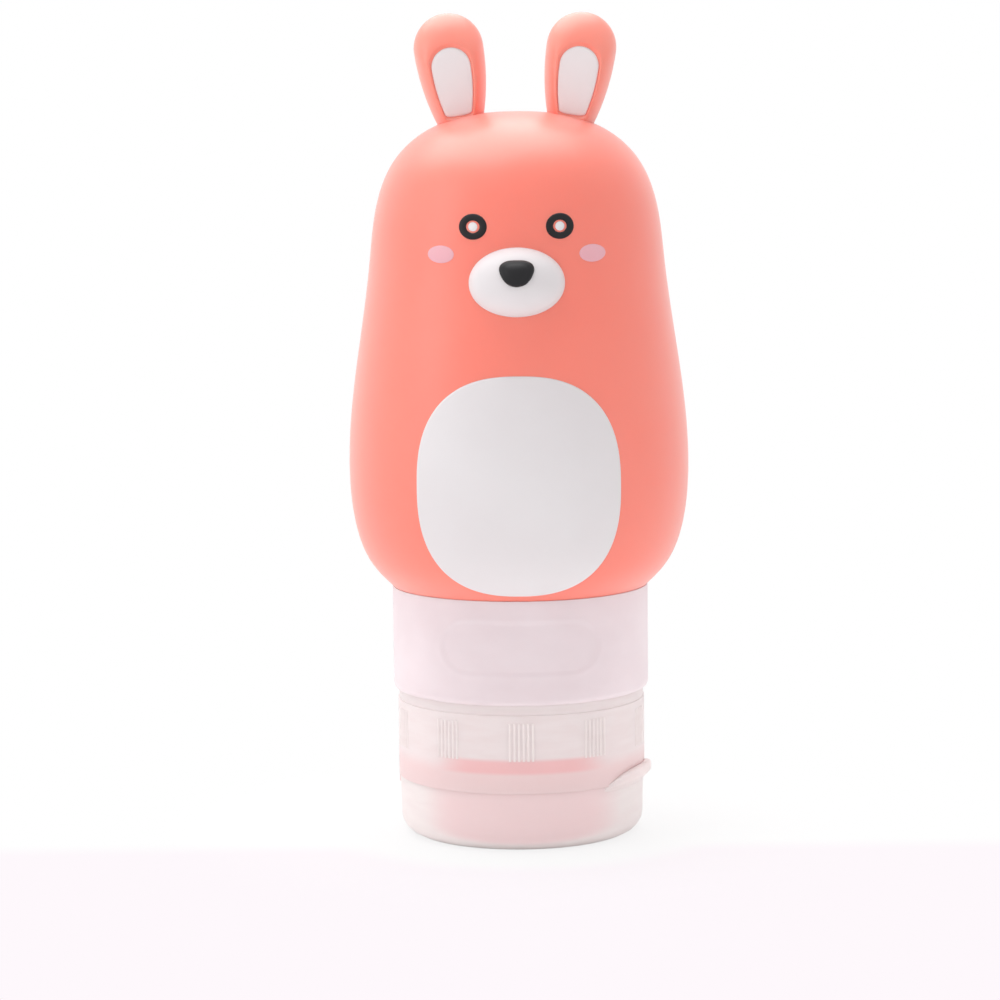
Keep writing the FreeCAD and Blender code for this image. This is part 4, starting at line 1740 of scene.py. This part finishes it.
@dataclass
class Studio:
    """White sweep, soft lamps and the camera."""

    distance: float = 550.0
    eye_height: float = 120.0
    azimuth: float = 0.15
    pitch: float = 7.08
    aim_left: float = 0.3125
    roll: float = -0.6
    lens: float = 128.7
    sensor: float = 36.0
    clips: Flat = (0.01, 50.0)
    fill: float = 0.69
    fall: float = 0.08
    floor_half: float = 4000.0
    floor_tone: tuple[float, ...] = (0.92, 0.92, 0.92, 1.0)
    shadow_tone: tuple[float, ...] = (0.8, 0.79, 0.795, 1.0)
    shadow_share: float = 0.18
    shadow_fade: Flat = (20.0, 60.0)
    blush: str = "FEF8FC"
    blush_back: Flat = (-19.0, -9.0)
    blush_start: Flat = (24.0, 34.0)
    blush_end: Flat = (130.0, 220.0)
    lamps: tuple[Lamp, ...] = (
        Lamp("key_box", (-820.0, -400.0, 330.0), (380.0, 660.0), 1.1),
        Lamp("top_box", (-100.0, 160.0, 690.0), (800.0, 760.0), 5.2),
        Lamp("low_box", (330.0, -150.0, 30.0), (120.0, 60.0), 0.004, (0.0, 0.0, 6.0), 18.0),
    )

    def build(self) -> None:
        """Sets the floor, the light and the camera."""
        bpy.context.scene.view_settings.view_transform = "Standard"
        self.floor()
        self.world()
        for lamp in self.lamps:
            lamp.build()
        self.camera()

    def floor(self) -> None:
        """Lays the floor: it catches the object's shadow, and the white room shows through the rest."""
        draft = Draft()
        half = self.floor_half
        spots = ((-half, -half, 0.0), (half, -half, 0.0), (half, half, 0.0), (-half, half, 0.0))
        draft.faces.append(tuple(draft.ring(spots)))
        piece = draft.piece("sweep")
        paint = Paint("sweep")
        x, y = (paint.axis(paint.place, name) / MM for name in "XY")
        reach = (x * x + y * y) ** 0.5
        front = (1 - y.step(*self.blush_back)) * reach.step(*self.blush_start)
        tinted = front * (1 - reach.step(*self.blush_end))
        below = paint.node("ShaderNodeNewGeometry", {}, {}, "Backfacing")
        direct = paint.showing(paint.ray("Shadow") * below)
        shade = paint.mix(direct, self.floor_tone, self.shadow_tone)
        lit = paint.node("ShaderNodeBsdfDiffuse", {}, {"Color": shade})
        tone = paint.mix(tinted, WHITE_LIGHT, linear(self.blush))
        plain = paint.node("ShaderNodeBsdfTransparent", {}, {"Color": tone})
        clear = 1 - self.shadow_share + self.shadow_share * reach.step(*self.shadow_fade)
        shader = paint.node("ShaderNodeMixShader", {}, {0: direct * clear, 1: lit, 2: plain})
        piece.data.materials.append(paint.finish(shader))

    def world(self) -> None:
        """Sets the even light from all round, and white where the world itself is seen."""
        world = bpy.data.worlds.new("studio")
        world.use_nodes = True
        bpy.context.scene.world = world
        graph = Graph(world.node_tree)
        heading = graph.node("ShaderNodeTexCoord", {}, {}, "Generated")
        room = self.fill - graph.axis(heading, "X") * self.fall
        strength = graph.showing() * (1 - room) + room
        light = graph.node("ShaderNodeBackground", {}, {"Color": WHITE_LIGHT, "Strength": strength})
        graph.end("ShaderNodeOutputWorld", light)

    def camera(self) -> None:
        """Places the camera where the photograph was taken from."""
        data = bpy.data.cameras.new("view")
        data.lens = self.lens
        data.sensor_width = self.sensor
        data.clip_start, data.clip_end = self.clips
        made = bpy.data.objects.new("view", data)
        spot = Vector(turned(self.distance, math.radians(self.azimuth), self.eye_height)) * MM
        yaw = Matrix.Rotation(math.radians(self.azimuth + self.aim_left), 4, "Z")
        tilt = Matrix.Rotation(math.radians(90.0 - self.pitch), 4, "X")
        roll = Matrix.Rotation(math.radians(self.roll), 4, "Z")
        made.matrix_world = Matrix.Translation(spot) @ yaw @ tilt @ roll
        bpy.context.scene.collection.objects.link(made)
        bpy.context.scene.camera = made


def main() -> None:
    """Builds the sub-assemblies in order, then the studio."""
    logging.basicConfig(level=logging.INFO, format="%(message)s")
    skin = Skin()
    SqueezeBody(skin).build()
    for side in Side:
        Ear(side).build()
    Face(skin).build()
    WindowRing().build()
    Cap().build()
    Lid().build()
    Valve().build()
    for node in ("thread_sleeve", "label_ring", "valve_clip"):
        redress(node, Finish.NATURAL)
    Studio().build()


if __name__ == "__main__":
    main()
